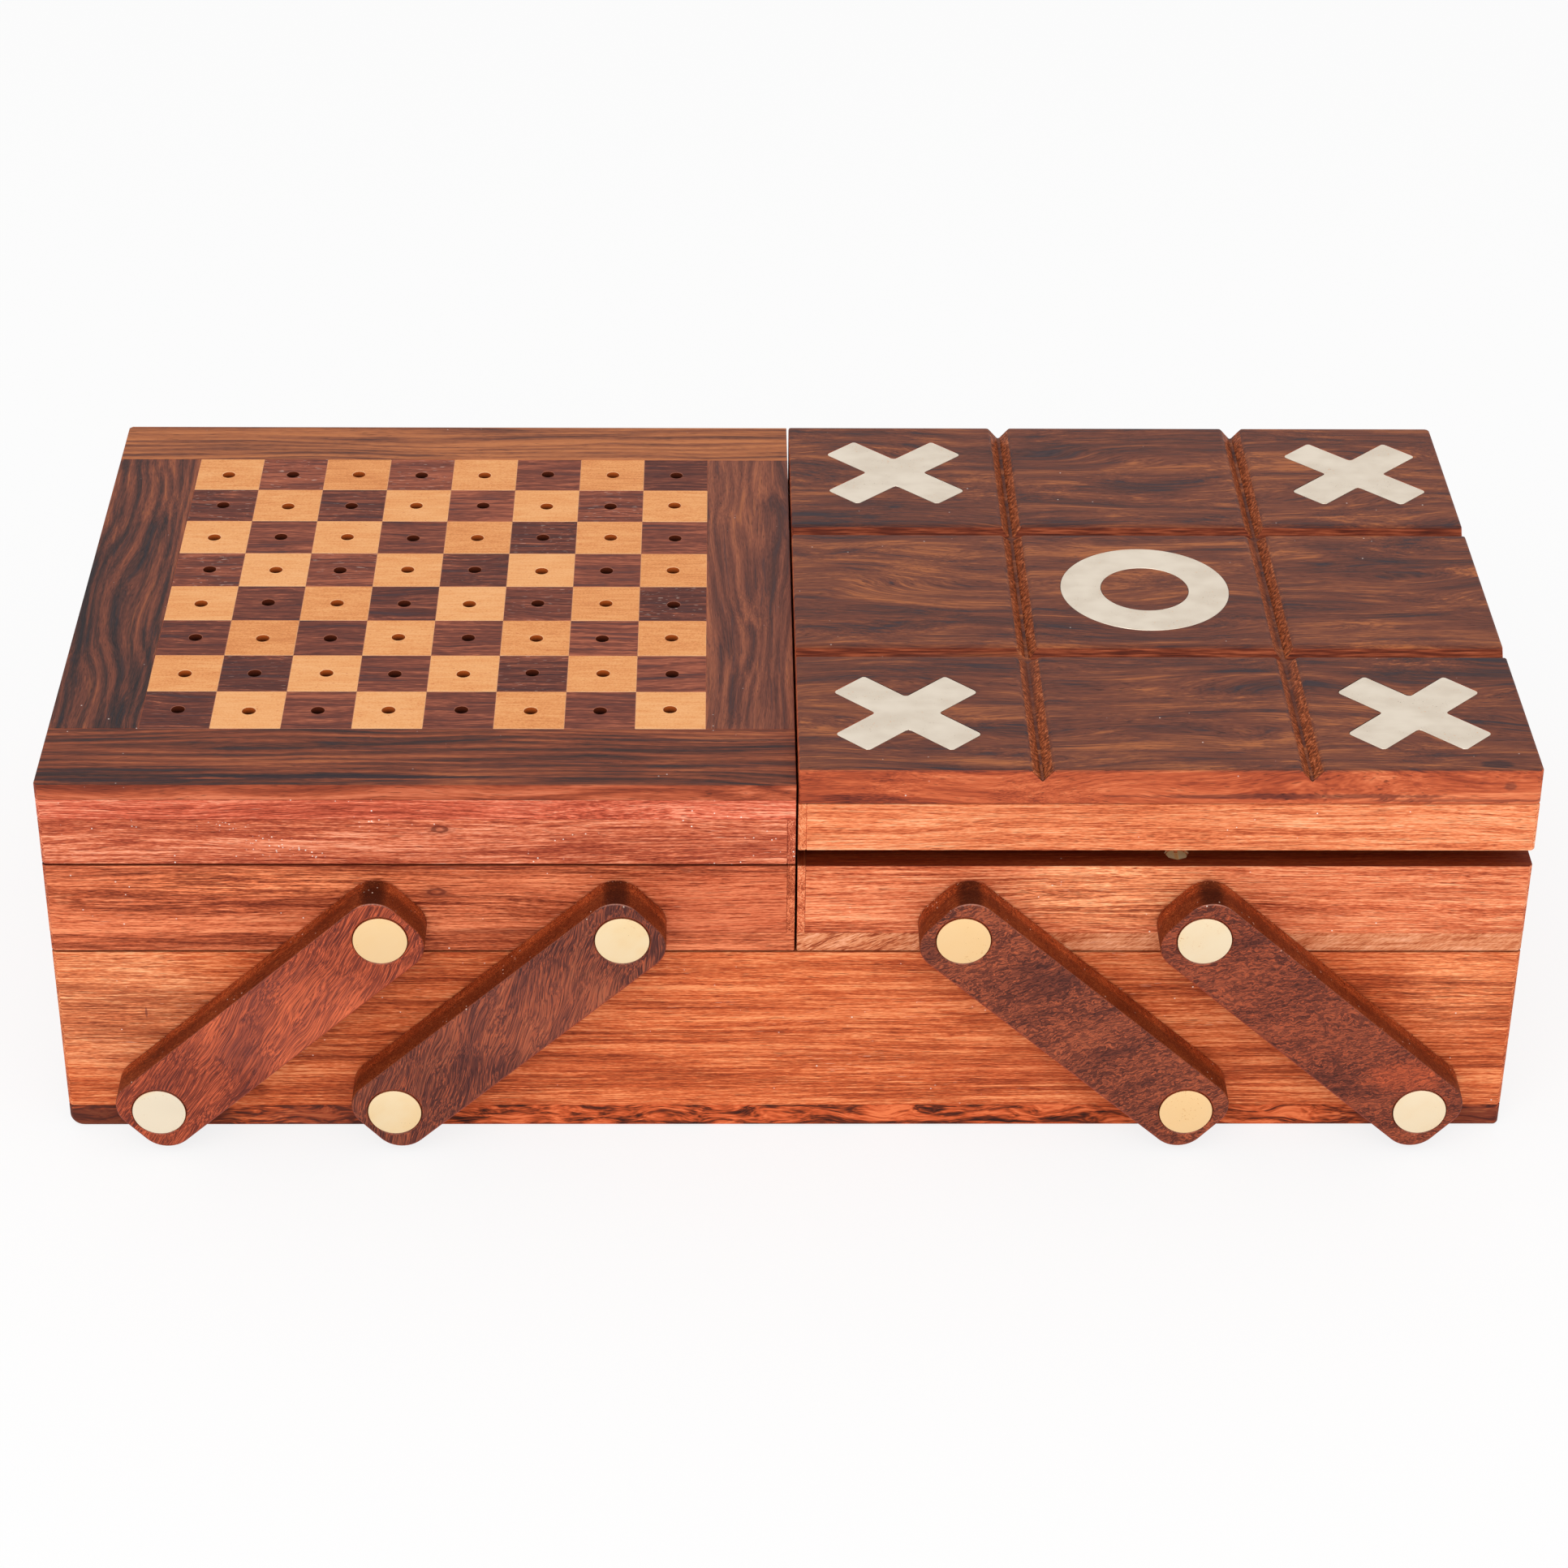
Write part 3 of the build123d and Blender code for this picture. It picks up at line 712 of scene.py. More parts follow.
HINGE_LENGTH = 16.0 * MM
HINGE_INSET = 27.0 * MM
LEAF_DEPTH = 6.0 * MM
LEAF = 0.8 * MM
KNUCKLE_RADIUS = 1.3 * MM
KNUCKLE_GAP = 0.15 * MM
HINGE_PIN_RADIUS = 0.65 * MM
HINGE_BORE_RADIUS = HINGE_PIN_RADIUS + 0.05 * MM
LEAVES_APART = 0.2 * MM
SCREW_APART = 9.0 * MM
SCREW_RADIUS = 1.5 * MM
SCREW_HEAD = 0.5 * MM
SCREW_SLOT = 0.4 * MM
SLOT_DEPTH = 0.3 * MM
PROUD = 0.03 * MM
LYING = Matrix.Rotation(math.pi / 2, 4, "Y")
hinge_brass = brass("hinge_brass", 22, (240, 208, 152), (222, 178, 116), 0.28)


def cut(shape, at, across):
    """Split a shape's faces along a plane."""
    geom = shape.verts[:] + shape.edges[:] + shape.faces[:]
    bmesh.ops.bisect_plane(shape, geom=geom, plane_co=at, plane_no=across)


def thicken(shape, faces, height):
    """Raise some faces by a height, with walls down to where they were."""
    made = bmesh.ops.extrude_face_region(shape, geom=faces)["geom"]
    verts = [part for part in made if isinstance(part, bmesh.types.BMVert)]
    bmesh.ops.translate(shape, vec=(0, 0, height), verts=verts)


def slotted_head(radius, height, depth, slot):
    """A round screw head with its slot, its face on the origin's plane, looking up."""
    shape = bmesh.new()
    bmesh.ops.create_circle(shape, cap_ends=True, segments=24, radius=radius)
    bmesh.ops.translate(shape, vec=(0, 0, -depth), verts=shape.verts)
    for side in (-1, 1):
        cut(shape, (side * slot / 2, 0, 0), (1, 0, 0))
    lands = [face for face in shape.faces if abs(face.calc_center_median().x) > slot / 2]
    thicken(shape, lands, depth)
    rim = [edge for edge in shape.edges if edge.is_boundary]
    under = drawn_on(shape, rim, (0, 0, depth - height))
    bmesh.ops.holes_fill(shape, edges=under)
    return shape


def hinge_leaf(x, up, pin_at):
    """One leaf with its own knuckles, notches for the other leaf's, and two screws."""
    half = HINGE_LENGTH / 2
    quarter = HINGE_LENGTH / 4
    back_edge = pin_at.y - KNUCKLE_RADIUS - KNUCKLE_GAP
    front_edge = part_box("base_back_wall")[1].y - LEAF_DEPTH
    rim = pin_at.z + up * LEAVES_APART / 2
    low, high = x - half, x + half
    shape = sheet(((low, front_edge), (high, front_edge), (high, pin_at.y), (low, pin_at.y)), rim)
    cut(shape, (x, back_edge, 0), (0, 1, 0))
    for side in (-1, 1):
        cut(shape, (x + side * quarter, 0, 0), (1, 0, 0))
    notches = []
    for face in shape.faces:
        centre = face.calc_center_median()
        outer = abs(centre.x - x) > quarter
        if centre.y > back_edge and outer == (up > 0):
            notches.append(face)
    bmesh.ops.delete(shape, geom=notches, context="FACES")
    thicken(shape, shape.faces[:], up * LEAF)
    spans = [(-quarter, quarter)] if up > 0 else [(-half, -quarter), (quarter, half)]
    for start, end in spans:
        reached = (end - start - KNUCKLE_GAP) / 2
        wall = [(HINGE_BORE_RADIUS, -reached), (KNUCKLE_RADIUS, -reached)]
        wall += [(radius, reached) for radius, _ in reversed(wall)]
        at = Matrix.Translation((x + (start + end) / 2, pin_at.y, pin_at.z))
        gather(shape, turned((*wall, wall[0]), 24), at @ LYING)
    for side in (-1, 1):
        at = Vector((x + side * SCREW_APART / 2, (front_edge + back_edge) / 2, rim - up * PROUD))
        head = slotted_head(SCREW_RADIUS, SCREW_HEAD, SLOT_DEPTH, SCREW_SLOT)
        turn = Matrix.Rotation(0.6 * side + x * 40, 4, "Z")     # no two slots stand alike
        flip = Matrix.Rotation(math.pi if up > 0 else 0.0, 4, "X")
        gather(shape, head, Matrix.Translation(at) @ flip @ turn)
    return shape


def gathered(shapes):
    """Several shapes as one."""
    whole = bmesh.new()
    for shape in shapes:
        gather(whole, shape, Matrix.Identity(4))
    return whole


ajar = math.radians(next(j for j in frame["joints"] if j["child"] == "right_lid")["range_deg"][0])
about = Matrix.Translation(joint_at["right_lid"])
tilt = about @ Matrix.Rotation(ajar, 4, "X") @ about.inverted()
ROD_TAPER = 0.2 * MM
end = HINGE_LENGTH / 2
ROD = (
    (0, -end), (HINGE_PIN_RADIUS * 0.7, -end), (HINGE_PIN_RADIUS, -end + ROD_TAPER),
    (HINGE_PIN_RADIUS, end - ROD_TAPER), (HINGE_PIN_RADIUS * 0.7, end), (0, end),
)
for half in HALVES:
    pin_at = joint_at[f"{half}_lid"]
    low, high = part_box(f"{half}_tray_floor")
    middles = (low.x + HINGE_INSET, high.x - HINGE_INSET)
    lower = gathered(hinge_leaf(x, -1, pin_at) for x in middles)
    piece_from(lower, f"{half}_tray_leaves", f"{half}_tray_hinge_leaves", hinge_brass, 35)
    upper = gathered(hinge_leaf(x, 1, pin_at) for x in middles)
    if half == "right":
        bmesh.ops.transform(upper, matrix=tilt, verts=upper.verts)
    piece_from(upper, f"{half}_lid_leaves", f"{half}_lid_hinge_leaves", hinge_brass, 35)
    rods = bmesh.new()
    for x in middles:
        gather(rods, turned(ROD, 20), Matrix.Translation((x, pin_at.y, pin_at.z)) @ LYING)
    piece_from(rods, f"{half}_hinge_rods", f"{half}_hinge_pins", hinge_brass, 35)


# ---- Catches ----
# A brass-plated cheese-head screw with a wide slot, driven into a recess in the tray's rim, and a
# small plated magnet pressed into the lid above it.

CATCH_HEAD_RADIUS = 1.8 * MM
CATCH_HEAD = 1.0 * MM
CATCH_SLOT = 0.7 * MM
CATCH_SLOT_DEPTH = 0.6 * MM
CATCH_SHANK_RADIUS = 0.9 * MM
CATCH_POINT = 1.2 * MM
MAGNET_RADIUS = 2.5 * MM
MAGNET = 2.0 * MM
MAGNET_EDGE = (0.2 * MM, 0.15 * MM)     # how far in and up its lower edge is rounded
MAGNET_LIFT = 0.06 * MM         # the right one's, as its lid is tilted


def steel(name, seed):
    """Bright plating, faintly brushed and dulled."""
    material, place, _ = new_finish(name)
    cloud = grain_place(place, ALONG["X"], seed).streaks(2.0, 1.2)
    colour = cloud.blend(tint(176, 170, 160), tint(214, 206, 190))
    return lay_finish(material, colour, 0.25 + 0.2 * cloud, cloud, 0.01, metallic=1.0)


plated = steel("plated_steel", 23)
catch_brass = brass("catch_brass", 25, (255, 238, 196), (252, 220, 158), 0.5, metallic=0.3)
for half in HALVES:
    low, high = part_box(f"{half}_catch_screw")
    at = Matrix.Translation(((low.x + high.x) / 2, (low.y + high.y) / 2, high.z))
    tip = low.z - high.z
    screw = bmesh.new()
    head = slotted_head(CATCH_HEAD_RADIUS, CATCH_HEAD, CATCH_SLOT_DEPTH, CATCH_SLOT)
    gather(screw, head, at)
    shank = turned((
        (0, tip), (CATCH_SHANK_RADIUS, tip + CATCH_POINT), (CATCH_SHANK_RADIUS, -CATCH_HEAD),
        (0, -CATCH_HEAD),
    ), 16)
    gather(screw, shank, at)
    piece_from(screw, f"{half}_catch", f"{half}_catch_screw", catch_brass, 35)
    disc = turned((
        (0, -PROUD), (MAGNET_RADIUS - MAGNET_EDGE[0], -PROUD), (MAGNET_RADIUS, MAGNET_EDGE[1]),
        (MAGNET_RADIUS, MAGNET), (0, MAGNET),
    ), 32)
    low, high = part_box(f"{half}_lid_magnet")
    stand = Vector(((low.x + high.x) / 2, (low.y + high.y) / 2, low.z))
    lie = Matrix.Translation(stand)
    if half == "right":
        stand.z += MAGNET_LIFT
        lie = Matrix.Translation(stand) @ Matrix.Rotation(ajar, 4, "X")
    bmesh.ops.transform(disc, matrix=lie, verts=disc.verts)
    piece_from(disc, f"{half}_magnet", f"{half}_lid_magnet", plated, 35)


# ---- Chess lid ----
# A full backing board, whose pink edge shows in front, carries an inlaid layer: a border of two rails
# and two stiles of dark rosewood, and 64 tiles, light and dark by turns, drilled for the men's pegs.

def dark_wood(name, seed, tones, along="X", wander=2.5, band=(46.0, 1.6), edge_tones=None, rings=0.0,
              stains=(), beyond=None, veined=0.4):
    """Dark rosewood: purple-brown, with blue-black and orange-brown streaks; its edges are redder."""
    material, place, normal = new_finish(name)
    site = site_of(place)
    wood = grain_place(place, ALONG[along], seed)
    wood = wood.wandered(48.0, 14.0, wander).wandered(6.0, 1.2, 0.12)
    drift = wood.streaks(110.0, 11.0)
    bands = wood.streaks(*band)
    line = wood.streaks(24.0, 0.5, 1.0)
    thin = wood.streaks(8.0, 0.18, 1.0)
    fibre = wood.streaks(1.8, 0.14, 0.0)
    level = 0.8 * drift + 0.95 * bands + 0.45 * line + 0.35 * thin + 0.3 * fibre - 0.925
    if rings:
        across = wood.part("Y") + 0.7 * wood.part("Z") + 9.0 * drift + 1.6 * bands
        level = level + 0.13 * (across * (2 * math.pi / rings)).maths("SINE")
    colour = five_tones(level, tones)
    if beyond:
        axis, line_at, other_tones = beyond
        other = five_tones(level, other_tones)
        colour = site.part(axis).rise(line_at - 1.0, line_at + 1.0).blend(colour, other)
    colour = (line.near(0.5, 0.05) * bands.rise(0.6, 0.4) * 0.3).blend(colour, tint(44, 32, 36))
    vein = 0.45 * line + 0.4 * bands + 0.15 * drift
    colour = (vein.rise(0.44, 0.34) * veined).blend(colour, tint(56, 48, 54))
    colour = (vein.rise(0.56, 0.66) * veined).blend(colour, tint(176, 104, 62))
    # Painted light, in part: side faces take a redder, paler copy of the tones, partly the wood's own colour and
    # partly how light falls on tops and sides.
    flat = abs(normal.part("Z"))
    edges = five_tones(level, edge_tones or DARK_EDGE_TONES)
    colour = flat.rise(0.6, 0.3).blend(colour, edges)
    for middle, size, strength in stains:
        stain = (site.away_from(middle, size) + 0.9 * bands + 0.7 * line + 0.5 * fibre).rise(2.15, 1.7)
        colour = (stain * strength).blend(colour, tint(36, 34, 40))
    pore = wood.streaks(2.6, 0.15, 0.0).rise(0.69, 0.79)
    colour = (pore * 0.5).blend(colour, tint(40, 24, 24))
    swept = site.streaks(24.0, 16.0).rise(0.5, 0.62)
    colour = (site.dust(1.3, 0.18, 0.08) * swept * 0.7).blend(colour, tint(236, 220, 210))
    height = 0.5 * line + 0.3 * thin + 0.2 * fibre - pore * 0.5
    return lay_finish(material, colour, 0.56 - 0.1 * fibre, height, 0.04, WOOD_GLEAM)


DARK_EDGE_TONES = ((104, 46, 32), (142, 64, 42), (164, 78, 50), (186, 92, 60), (216, 122, 86))
RAIL_TONES = ((58, 40, 37), (102, 54, 40), (123, 64, 45), (141, 74, 50), (174, 98, 63))
BACK_RAIL_TONES = ((96, 56, 42), (136, 78, 54), (156, 92, 60), (172, 102, 64), (196, 122, 76))
STILE_TONES = {
    "left": ((42, 36, 37), (77, 48, 42), (97, 56, 46), (114, 64, 50), (146, 82, 58)),
    "right": ((84, 50, 43), (108, 61, 49), (123, 70, 54), (136, 78, 58), (162, 95, 67)),
}
BACKING_TONES = ((150, 58, 40), (204, 92, 64), (222, 108, 78), (234, 126, 94), (252, 168, 134))
# Painted shade: the backing board's upward faces, under the inlaid layer, are near-black.
BACKING_TOP_SHADE = ((50, 20, 12),) * 5
backing = red_wood("backing_rosewood", 54, BACKING_TONES, "X", 2.6, 0.3, 0.8, 0.1, rim=BACKING_TOP_SHADE)
planed("left_lid_backing_board", "left_lid_backing_panel", backing)
BORDER_EASE = 0.08 * MM
RAIL_STAINS = (
    ((-76.0, -61.6, 72.0), (70.0, 1.5, 0.0), 0.85),
    ((-112.0, -62.6, 72.0), (40.0, 1.0, 0.0), 0.7),
    ((-14.0, -50.0, 72.0), (40.0, 1.2, 0.0), 0.55),
)
rail_wood = dark_wood(
    "rail_rosewood", 70, RAIL_TONES, rings=1.9, stains=RAIL_STAINS, beyond=("Y", 0.0, BACK_RAIL_TONES)
)
planed("chess_border_rails", "chess_rails", rail_wood, BORDER_EASE)
stile_wood = dark_wood(
    "stile_rosewood", 71, STILE_TONES["left"], "Y", 5.0, (60.0, 2.6), rings=2.1,
    beyond=("X", -60.0, STILE_TONES["right"]),
)
planed("chess_border_stiles", "chess_stiles", stile_wood, BORDER_EASE)

PEG_RADIUS = 1.2 * MM
PEG_DRIFT = 0.3 * MM            # the holes are drilled by eye
TILE_EASE = 0.08 * MM
light_low, light_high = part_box("chess_light_squares")
SQUARES = 8
square = (light_high.x - light_low.x) / SQUARES
layer = light_high.z - light_low.z


def tile_blank(drift):
    """One tile with its middle on the origin, and its hole about there."""
    half = square / 2
    shape = sheet(((-half, -half), (half, -half), (half, half), (-half, half)))
    bmesh.ops.delete(shape, geom=shape.faces[:], context="FACES_ONLY")
    bmesh.ops.create_circle(shape, segments=24, radius=PEG_RADIUS, matrix=Matrix.Translation(drift))
    bmesh.ops.triangle_fill(shape, use_beauty=True, edges=shape.edges[:], normal=(0, 0, 1))
    thicken(shape, shape.faces[:], layer)
    bmesh.ops.recalc_face_normals(shape, faces=shape.faces)
    return eased(shape, TILE_EASE, 1, 60.0)


def tile_place(place, seed):
    """The place in millimetres on a tile cut from wood of its own, and two chances for it."""
    shift = (-light_low.x / MM, -light_low.y / MM, 0.0)
    sockets = {"Vector": place, "Scale": (1 / MM,) * 3, "Location": shift}
    board = place.node("Mapping", {}, sockets)
    number = board.vector("MULTIPLY", (MM / square, MM / square, 0.0)).vector("FLOOR")
    chance = number.node("TexWhiteNoise", {}, {"Vector": number}, "Color")
    own = chance.vector("MULTIPLY_ADD", (900.0, 900.0, 900.0), board)
    return own.vector("ADD", (seed * 31.0, 0.0, 0.0)), chance


def pegged(colour, place, normal, edge, wall, bottom):
    """The worn edges of a tile and its hole, and the hole's wall in painted shade, darker further down."""
    flat = abs(normal.part("Z"))
    down = light_high.z / MM - site_of(place).part("Z")
    colour = (flat.rise(0.97, 0.8) * 0.6).blend(colour, tint(*edge))
    # Painted shade: the hole's wall darkens from its own redder tone at the top to near-black at the bottom.
    hole_shade = down.rise(0.1, 1.7).blend(tint(*wall), tint(*bottom))
    return flat.rise(0.5, 0.3).blend(colour, hole_shade)


def light_tile(name, seed, tones):
    """Light close-grained wood, finely speckled, each tile of its own shade."""
    material, place, normal = new_finish(name)
    wood, chance = tile_place(place, seed)
    speck = wood.streaks(0.35, 0.3, 1.0)
    fibre = wood.streaks(6.0, 0.5)
    cloud = wood.streaks(14.0, 5.0)
    own = chance.part("Y")
    level = 0.75 * speck + 0.8 * fibre + 0.5 * cloud + 0.45 * own - 0.75
    colour = five_tones(level, tones)
    mark = wood.streaks(0.7, 0.22, 0.0).rise(0.72, 0.8)
    colour = (mark * 0.5).blend(colour, tint(196, 98, 52))
    colour = pegged(colour, place, normal, (252, 206, 158), (196, 96, 38), (40, 12, 5))
    return lay_finish(material, colour, 0.5, 0.5 * speck + 0.5 * fibre, 0.02, WOOD_GLEAM)


def dark_tile(name, seed, tones):
    """Dark rosewood with level streaks, each tile cut from another place."""
    material, place, normal = new_finish(name)
    wood, chance = tile_place(place, seed)
    wood = wood.wandered(20.0, 8.0, 1.6)
    bands = wood.streaks(24.0, 1.1)
    line = wood.streaks(12.0, 0.35, 1.0)
    fibre = wood.streaks(1.6, 0.16, 0.0)
    own = chance.part("Y")
    level = 1.0 * bands + 0.6 * line + 0.5 * fibre + 0.36 * own - 0.73
    colour = five_tones(level, tones)
    colour = (line.near(0.6, 0.04) * bands.rise(0.45, 0.6) * 0.7).blend(colour, tint(190, 112, 80))
    colour = (bands.rise(0.42, 0.3) * 0.5).blend(colour, tint(74, 56, 60))
    nick = wood.streaks(1.6, 0.14, 0.0).rise(0.76, 0.82) * chance.part("X").rise(0.5, 0.9)
    colour = (nick * 0.7).blend(colour, tint(232, 206, 190))
    colour = pegged(colour, place, normal, (178, 112, 88), (96, 40, 22), (26, 10, 8))
    return lay_finish(material, colour, 0.55, 0.5 * bands + 0.5 * line, 0.03, WOOD_GLEAM)


LIGHT_TONES = ((212, 134, 78), (229, 152, 92), (234, 160, 100), (238, 168, 107), (244, 179, 121))
DARK_TONES = ((76, 42, 38), (100, 54, 45), (114, 61, 49), (130, 70, 54), (168, 94, 70))
blanks = [tile_blank((PEG_DRIFT * share, 0.4 * PEG_DRIFT, 0)) for share in (0.1, 0.5, 1.0)]
for colour, parity, finish, slot in (
    ("light", 1, light_tile("light_tile_wood", 80, LIGHT_TONES), "pale_wood"),
    ("dark", 0, dark_tile("dark_tile_wood", 81, DARK_TONES), "dark_wood"),
):
    tiles = bmesh.new()
    for column in range(SQUARES):
        for row in range(SQUARES):
            if (column + row) % 2 == parity:
                middle = light_low + Vector(((column + 0.5) * square, (row + 0.5) * square, 0))
                lie = Matrix.Rotation(math.pi / 2 * (column * 3 + row * 2), 4, "Z")
                gather(tiles, blanks[(column * 5 + row) % 3], Matrix.Translation(middle) @ lie)
    piece_from(tiles, f"chess_{colour}_tiles", f"chess_{colour}_squares", finish)


# ---- Noughts and crosses lid ----
# One thick plank of dark rosewood, with four sawn V grooves, and four crosses and a nought of brass
# sheet let into it and sanded flush. The lid stands a little ajar.

PLANK_TONES = ((66, 46, 44), (98, 56, 45), (114, 63, 48), (130, 74, 52), (170, 100, 62))
PLANK_EDGE_TONES = ((104, 44, 34), (166, 74, 46), (190, 90, 55), (207, 105, 66), (238, 140, 94))
PLANK_STAINS = (
    ((88.0, -64.2, 70.0), (70.0, 6.0, 1.1), 0.5),
    ((112.0, -64.2, 69.2), (40.0, 6.0, 0.8), 0.4),
    ((119.2, -61.8, 74.7), (6.5, 3.0, 5.0), 0.65),
    ((121.5, -64.2, 72.0), (2.4, 3.0, 1.8), 0.45),
)
LONG_GROOVE_TONES = ((80, 36, 18), (118, 56, 28), (142, 70, 36), (164, 84, 46), (204, 118, 76))
CROSS_GROOVE_TONES = ((66, 24, 14), (100, 40, 22), (122, 54, 31), (142, 67, 39), (178, 92, 58))
PLANK_EASE = 0.45 * MM
plank_middle = middle_of("right_lid_plank").x
flat_plank = frame["nodes"]["right_lid_plank"].data.copy()
flat_plank.transform(tilt.inverted())
plank_top = max(vert.co.z for vert in flat_plank.vertices)      # with the lid shut
bpy.data.meshes.remove(flat_plank)
top_as_tilted = (Matrix.Rotation(-ajar, 4, "X") @ (tilt @ Vector((0.0, 0.0, plank_top)))).z


def plank_finish(name, seed):
    """The dark plank's wood, with the sawn walls of its grooves left rough, redder and brighter."""
    material = dark_wood(
        name, seed, PLANK_TONES, "X", 8.0, (30.0, 2.8), PLANK_EDGE_TONES, stains=PLANK_STAINS,
        veined=0.8,
    )
    base_colour = material.node_tree.nodes["Principled BSDF"].inputs["Base Color"]
    plain = Shade(material.node_tree, base_colour.links[0].from_socket)
    place = plain.node("TexCoord", {}, {}, "Object")
    normal = plain.node("TexCoord", {}, {}, "Normal")
    flat = abs(normal.part("Z"))
    across = abs(normal.part("Y"))
    turned_back = {"Vector": place, "Rotation": (-ajar, 0.0, 0.0)}
    lid = place.node("Mapping", {}, turned_back)
    depth = (lid.part("Z") - top_as_tilted) * (1 / MM)
    sawn = flat.near(0.66, 0.24).rise(0.0, 0.5) * depth.rise(-0.25, -0.5)
    wood = grain_place(place, ALONG["X"], seed + 1)
    lengthwise = wood.streaks(1.4, 0.5, 1.0)
    crosswise = wood.streaks(6.0, 0.35)
    dark = five_tones(1.4 * lengthwise - 0.2, LONG_GROOVE_TONES)
    bright = five_tones(1.4 * crosswise - 0.2, CROSS_GROOVE_TONES)
    groove = across.rise(0.3, 0.5).blend(dark, bright)
    # Painted shade: the groove's walls darken towards its bottom.
    deep = (depth + 0.9 * lengthwise).rise(-1.1, -1.8) * 0.8
    groove = deep.blend(groove, tint(64, 32, 20))
    whisker = (lengthwise + 0.35 * depth).rise(0.42, 0.52) * across.rise(0.5, 0.3)
    groove = (whisker * 0.6).blend(groove, tint(216, 136, 88))
    # Painted shade: steep faces inside the plank's edges, the walls of the brass marks' pockets, are near-black.
    within = site_of(place).away_from((plank_middle / MM, 0.0, 0.0), (125.0, 125.0, 0.0))
    pocket_shade = flat.rise(0.45, 0.25) * within.rise(1.0, 0.98)
    colour = (pocket_shade * 0.9).blend(sawn.blend(plain, groove), tint(48, 24, 18))
    material.node_tree.links.new(colour.socket, base_colour)
    return material


POCKET_DEPTHS = (0.7 * MM, 1.3 * MM)    # the floors of the marks' pockets lie between these
TOP_FACE = 0.1 * MM                     # a face no lower than this is the plank's own top


def let_in(edge):
    """Whether an edge belongs to a shallow pocket for a brass mark, which stays sharp."""
    lowest = [min((tilt.inverted() @ vert.co).z for vert in face.verts) for face in edge.link_faces]
    down = plank_top - min(lowest)
    below_top = plank_top - max(lowest) > TOP_FACE
    return down < POCKET_DEPTHS[1] and (below_top or down > POCKET_DEPTHS[0])


finish = plank_finish("plank_rosewood", 72)
planed("right_lid_plank", "right_lid_top", finish, PLANK_EASE, let_in)

CROSSES = ((-43.9, -45.4, 28.0), (43.5, -45.2, 27.6), (-42.7, 44.9, 29.2), (45.4, 44.7, 28.6))
CROSS_FIT = 0.14 * MM           # round each mark in its pocket
CROSS_BAR = 8.0 * MM - 2 * CROSS_FIT
CROSS_CORNER = 0.7 * MM
NOUGHT_OUTER = 15.27 * MM
NOUGHT_INNER = 7.98 * MM
INLAY = 1.0 * MM
INLAY_EASE = 0.07 * MM
inlay_brass = brass("inlay_brass", 24, (230, 218, 201), (215, 201, 183), 0.36, 0.0)


def cross_shape(length):
    """A cross cut from sheet, its tips and crotches slightly rounded."""
    half, bar = length / 2, CROSS_BAR / 2
    shape = sheet((
        (half, -bar), (half, bar), (bar, bar), (bar, half), (-bar, half), (-bar, bar),
        (-half, bar), (-half, -bar), (-bar, -bar), (-bar, -half), (bar, -half), (bar, -bar),
    ))
    round_corners(shape, CROSS_CORNER, 4)
    thicken(shape, shape.faces[:], -INLAY)
    bmesh.ops.recalc_face_normals(shape, faces=shape.faces)
    return eased(shape, INLAY_EASE, 1, 60.0)


crosses = bmesh.new()
for x, y, length in CROSSES:
    middle = Vector((plank_middle + x * MM, y * MM, plank_top + PROUD))
    lie = Matrix.Translation(middle) @ Matrix.Rotation(math.pi / 4, 4, "Z")
    gather(crosses, cross_shape(length * MM - 2 * CROSS_FIT), tilt @ lie)
piece_from(crosses, "brass_crosses", "cross_inlays", inlay_brass)
middle = tilt.inverted() @ middle_of("nought_inlay")
middle.z = plank_top + PROUD
ring = turned((
    (NOUGHT_INNER, -INLAY), (NOUGHT_OUTER, -INLAY), (NOUGHT_OUTER, -INLAY_EASE),
    (NOUGHT_OUTER - INLAY_EASE, 0), (NOUGHT_INNER + INLAY_EASE, 0), (NOUGHT_INNER, -INLAY_EASE),
    (NOUGHT_INNER, -INLAY),
), 96)
bmesh.ops.transform(ring, matrix=tilt @ Matrix.Translation(middle), verts=ring.verts)
piece_from(ring, "brass_nought", "nought_inlay", inlay_brass)


# ---- Floor, light and camera ----
# White paper that runs out of sight under the box, and white all round it. A large soft lamp stands
# in front at the left and a weaker one at the right, and the camera is where the photographer stood.

def straight_rays(shade):
    """1 where the eye looks straight, by a mirror or through glass, and 0 for light on its way."""
    seen = shade.node("LightPath", {}, {}, "Is Camera Ray")
    shine = shade.node("LightPath", {}, {}, "Is Glossy Ray")
    through = shade.node("LightPath", {}, {}, "Is Transmission Ray")
    return seen.maths("MAXIMUM", shine).maths("MAXIMUM", through)


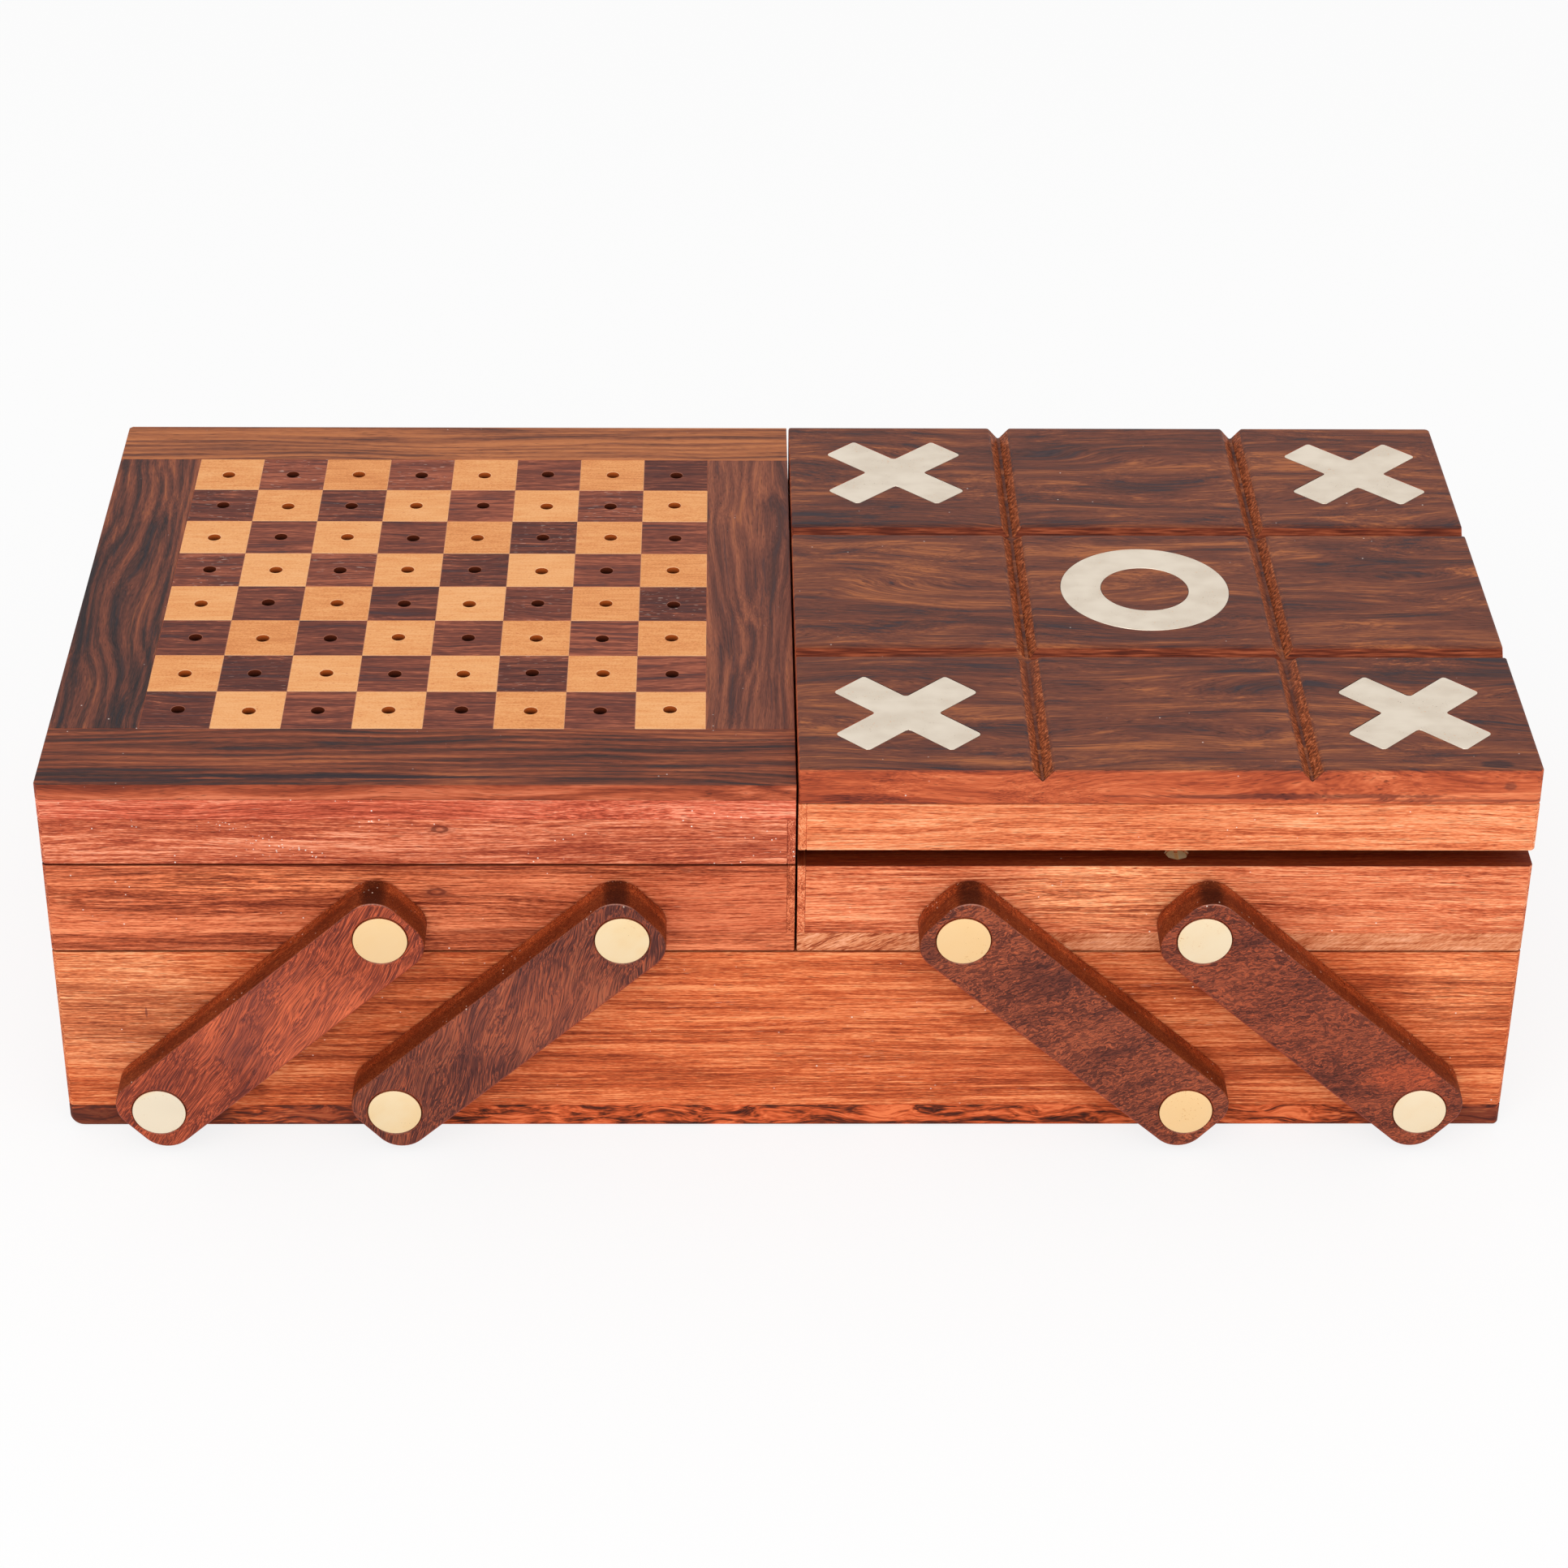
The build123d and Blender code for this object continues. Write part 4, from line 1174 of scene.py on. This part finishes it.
WHITE = (1, 1, 1, 1)
PAPER_GLOW = 0.82               # how far the paper shines of itself, to the eye alone
material = bpy.data.materials.new("white_paper")
material.use_nodes = True
shade = Shade(material.node_tree)
nodes = material.node_tree.nodes
lay_finish(material, (0.94, 0.94, 0.94, 1), 0.9, gleam=0.0)
glow = shade.node("Emission", {}, {"Color": WHITE, "Strength": 1.0})
paper = Shade(material.node_tree, nodes["Principled BSDF"].outputs[0])
mixed = shade.node("MixShader", {}, {0: straight_rays(shade) * PAPER_GLOW, 1: paper, 2: glow})
material.node_tree.links.new(mixed.socket, nodes["Material Output"].inputs["Surface"])
shape = bmesh.new()
bmesh.ops.create_grid(shape, x_segments=1, y_segments=1, size=20.0)
floor = made_object(shape, "floor", material)

AMBIENT = 0.72
world = bpy.data.worlds.new("studio")
bpy.context.scene.world = world
world.use_nodes = True
shade = Shade(world.node_tree)
dim = shade.node("Background", {}, {"Color": WHITE, "Strength": AMBIENT})
full = shade.node("Background", {}, {"Color": WHITE, "Strength": 1.0})
mixed = shade.node("MixShader", {}, {0: straight_rays(shade), 1: dim, 2: full})
world.node_tree.links.new(mixed.socket, world.node_tree.nodes["World Output"].inputs["Surface"])


def soft_box(name, at, size, power):
    """A square lamp that faces the box."""
    lamp = bpy.data.lights.new(name, "AREA")
    lamp.shape = "SQUARE"
    lamp.size = size
    lamp.energy = power
    light = bpy.data.objects.new(name, lamp)
    light.location = at
    light.rotation_euler = (-Vector(at)).to_track_quat("-Z", "Y").to_euler()
    bpy.context.scene.collection.objects.link(light)


soft_box("key_light", (-0.35, -1.1, 1.1), 1.2, 9.0)
soft_box("fill_light", (0.7, -1.0, 0.7), 1.0, 2.5)

camera = bpy.data.cameras.new("camera")
camera.sensor_fit = "HORIZONTAL"
camera.sensor_width = 36.0
camera.lens = 90.0768
viewer = bpy.data.objects.new("camera", camera)
viewer.location = (-0.011424, -0.617289, 0.430897)
viewer.rotation_euler = [math.radians(angle) for angle in (57.0657, -0.5303, -0.727)]
bpy.context.scene.collection.objects.link(viewer)
bpy.context.scene.camera = viewer
bpy.context.scene.view_settings.view_transform = "Standard"
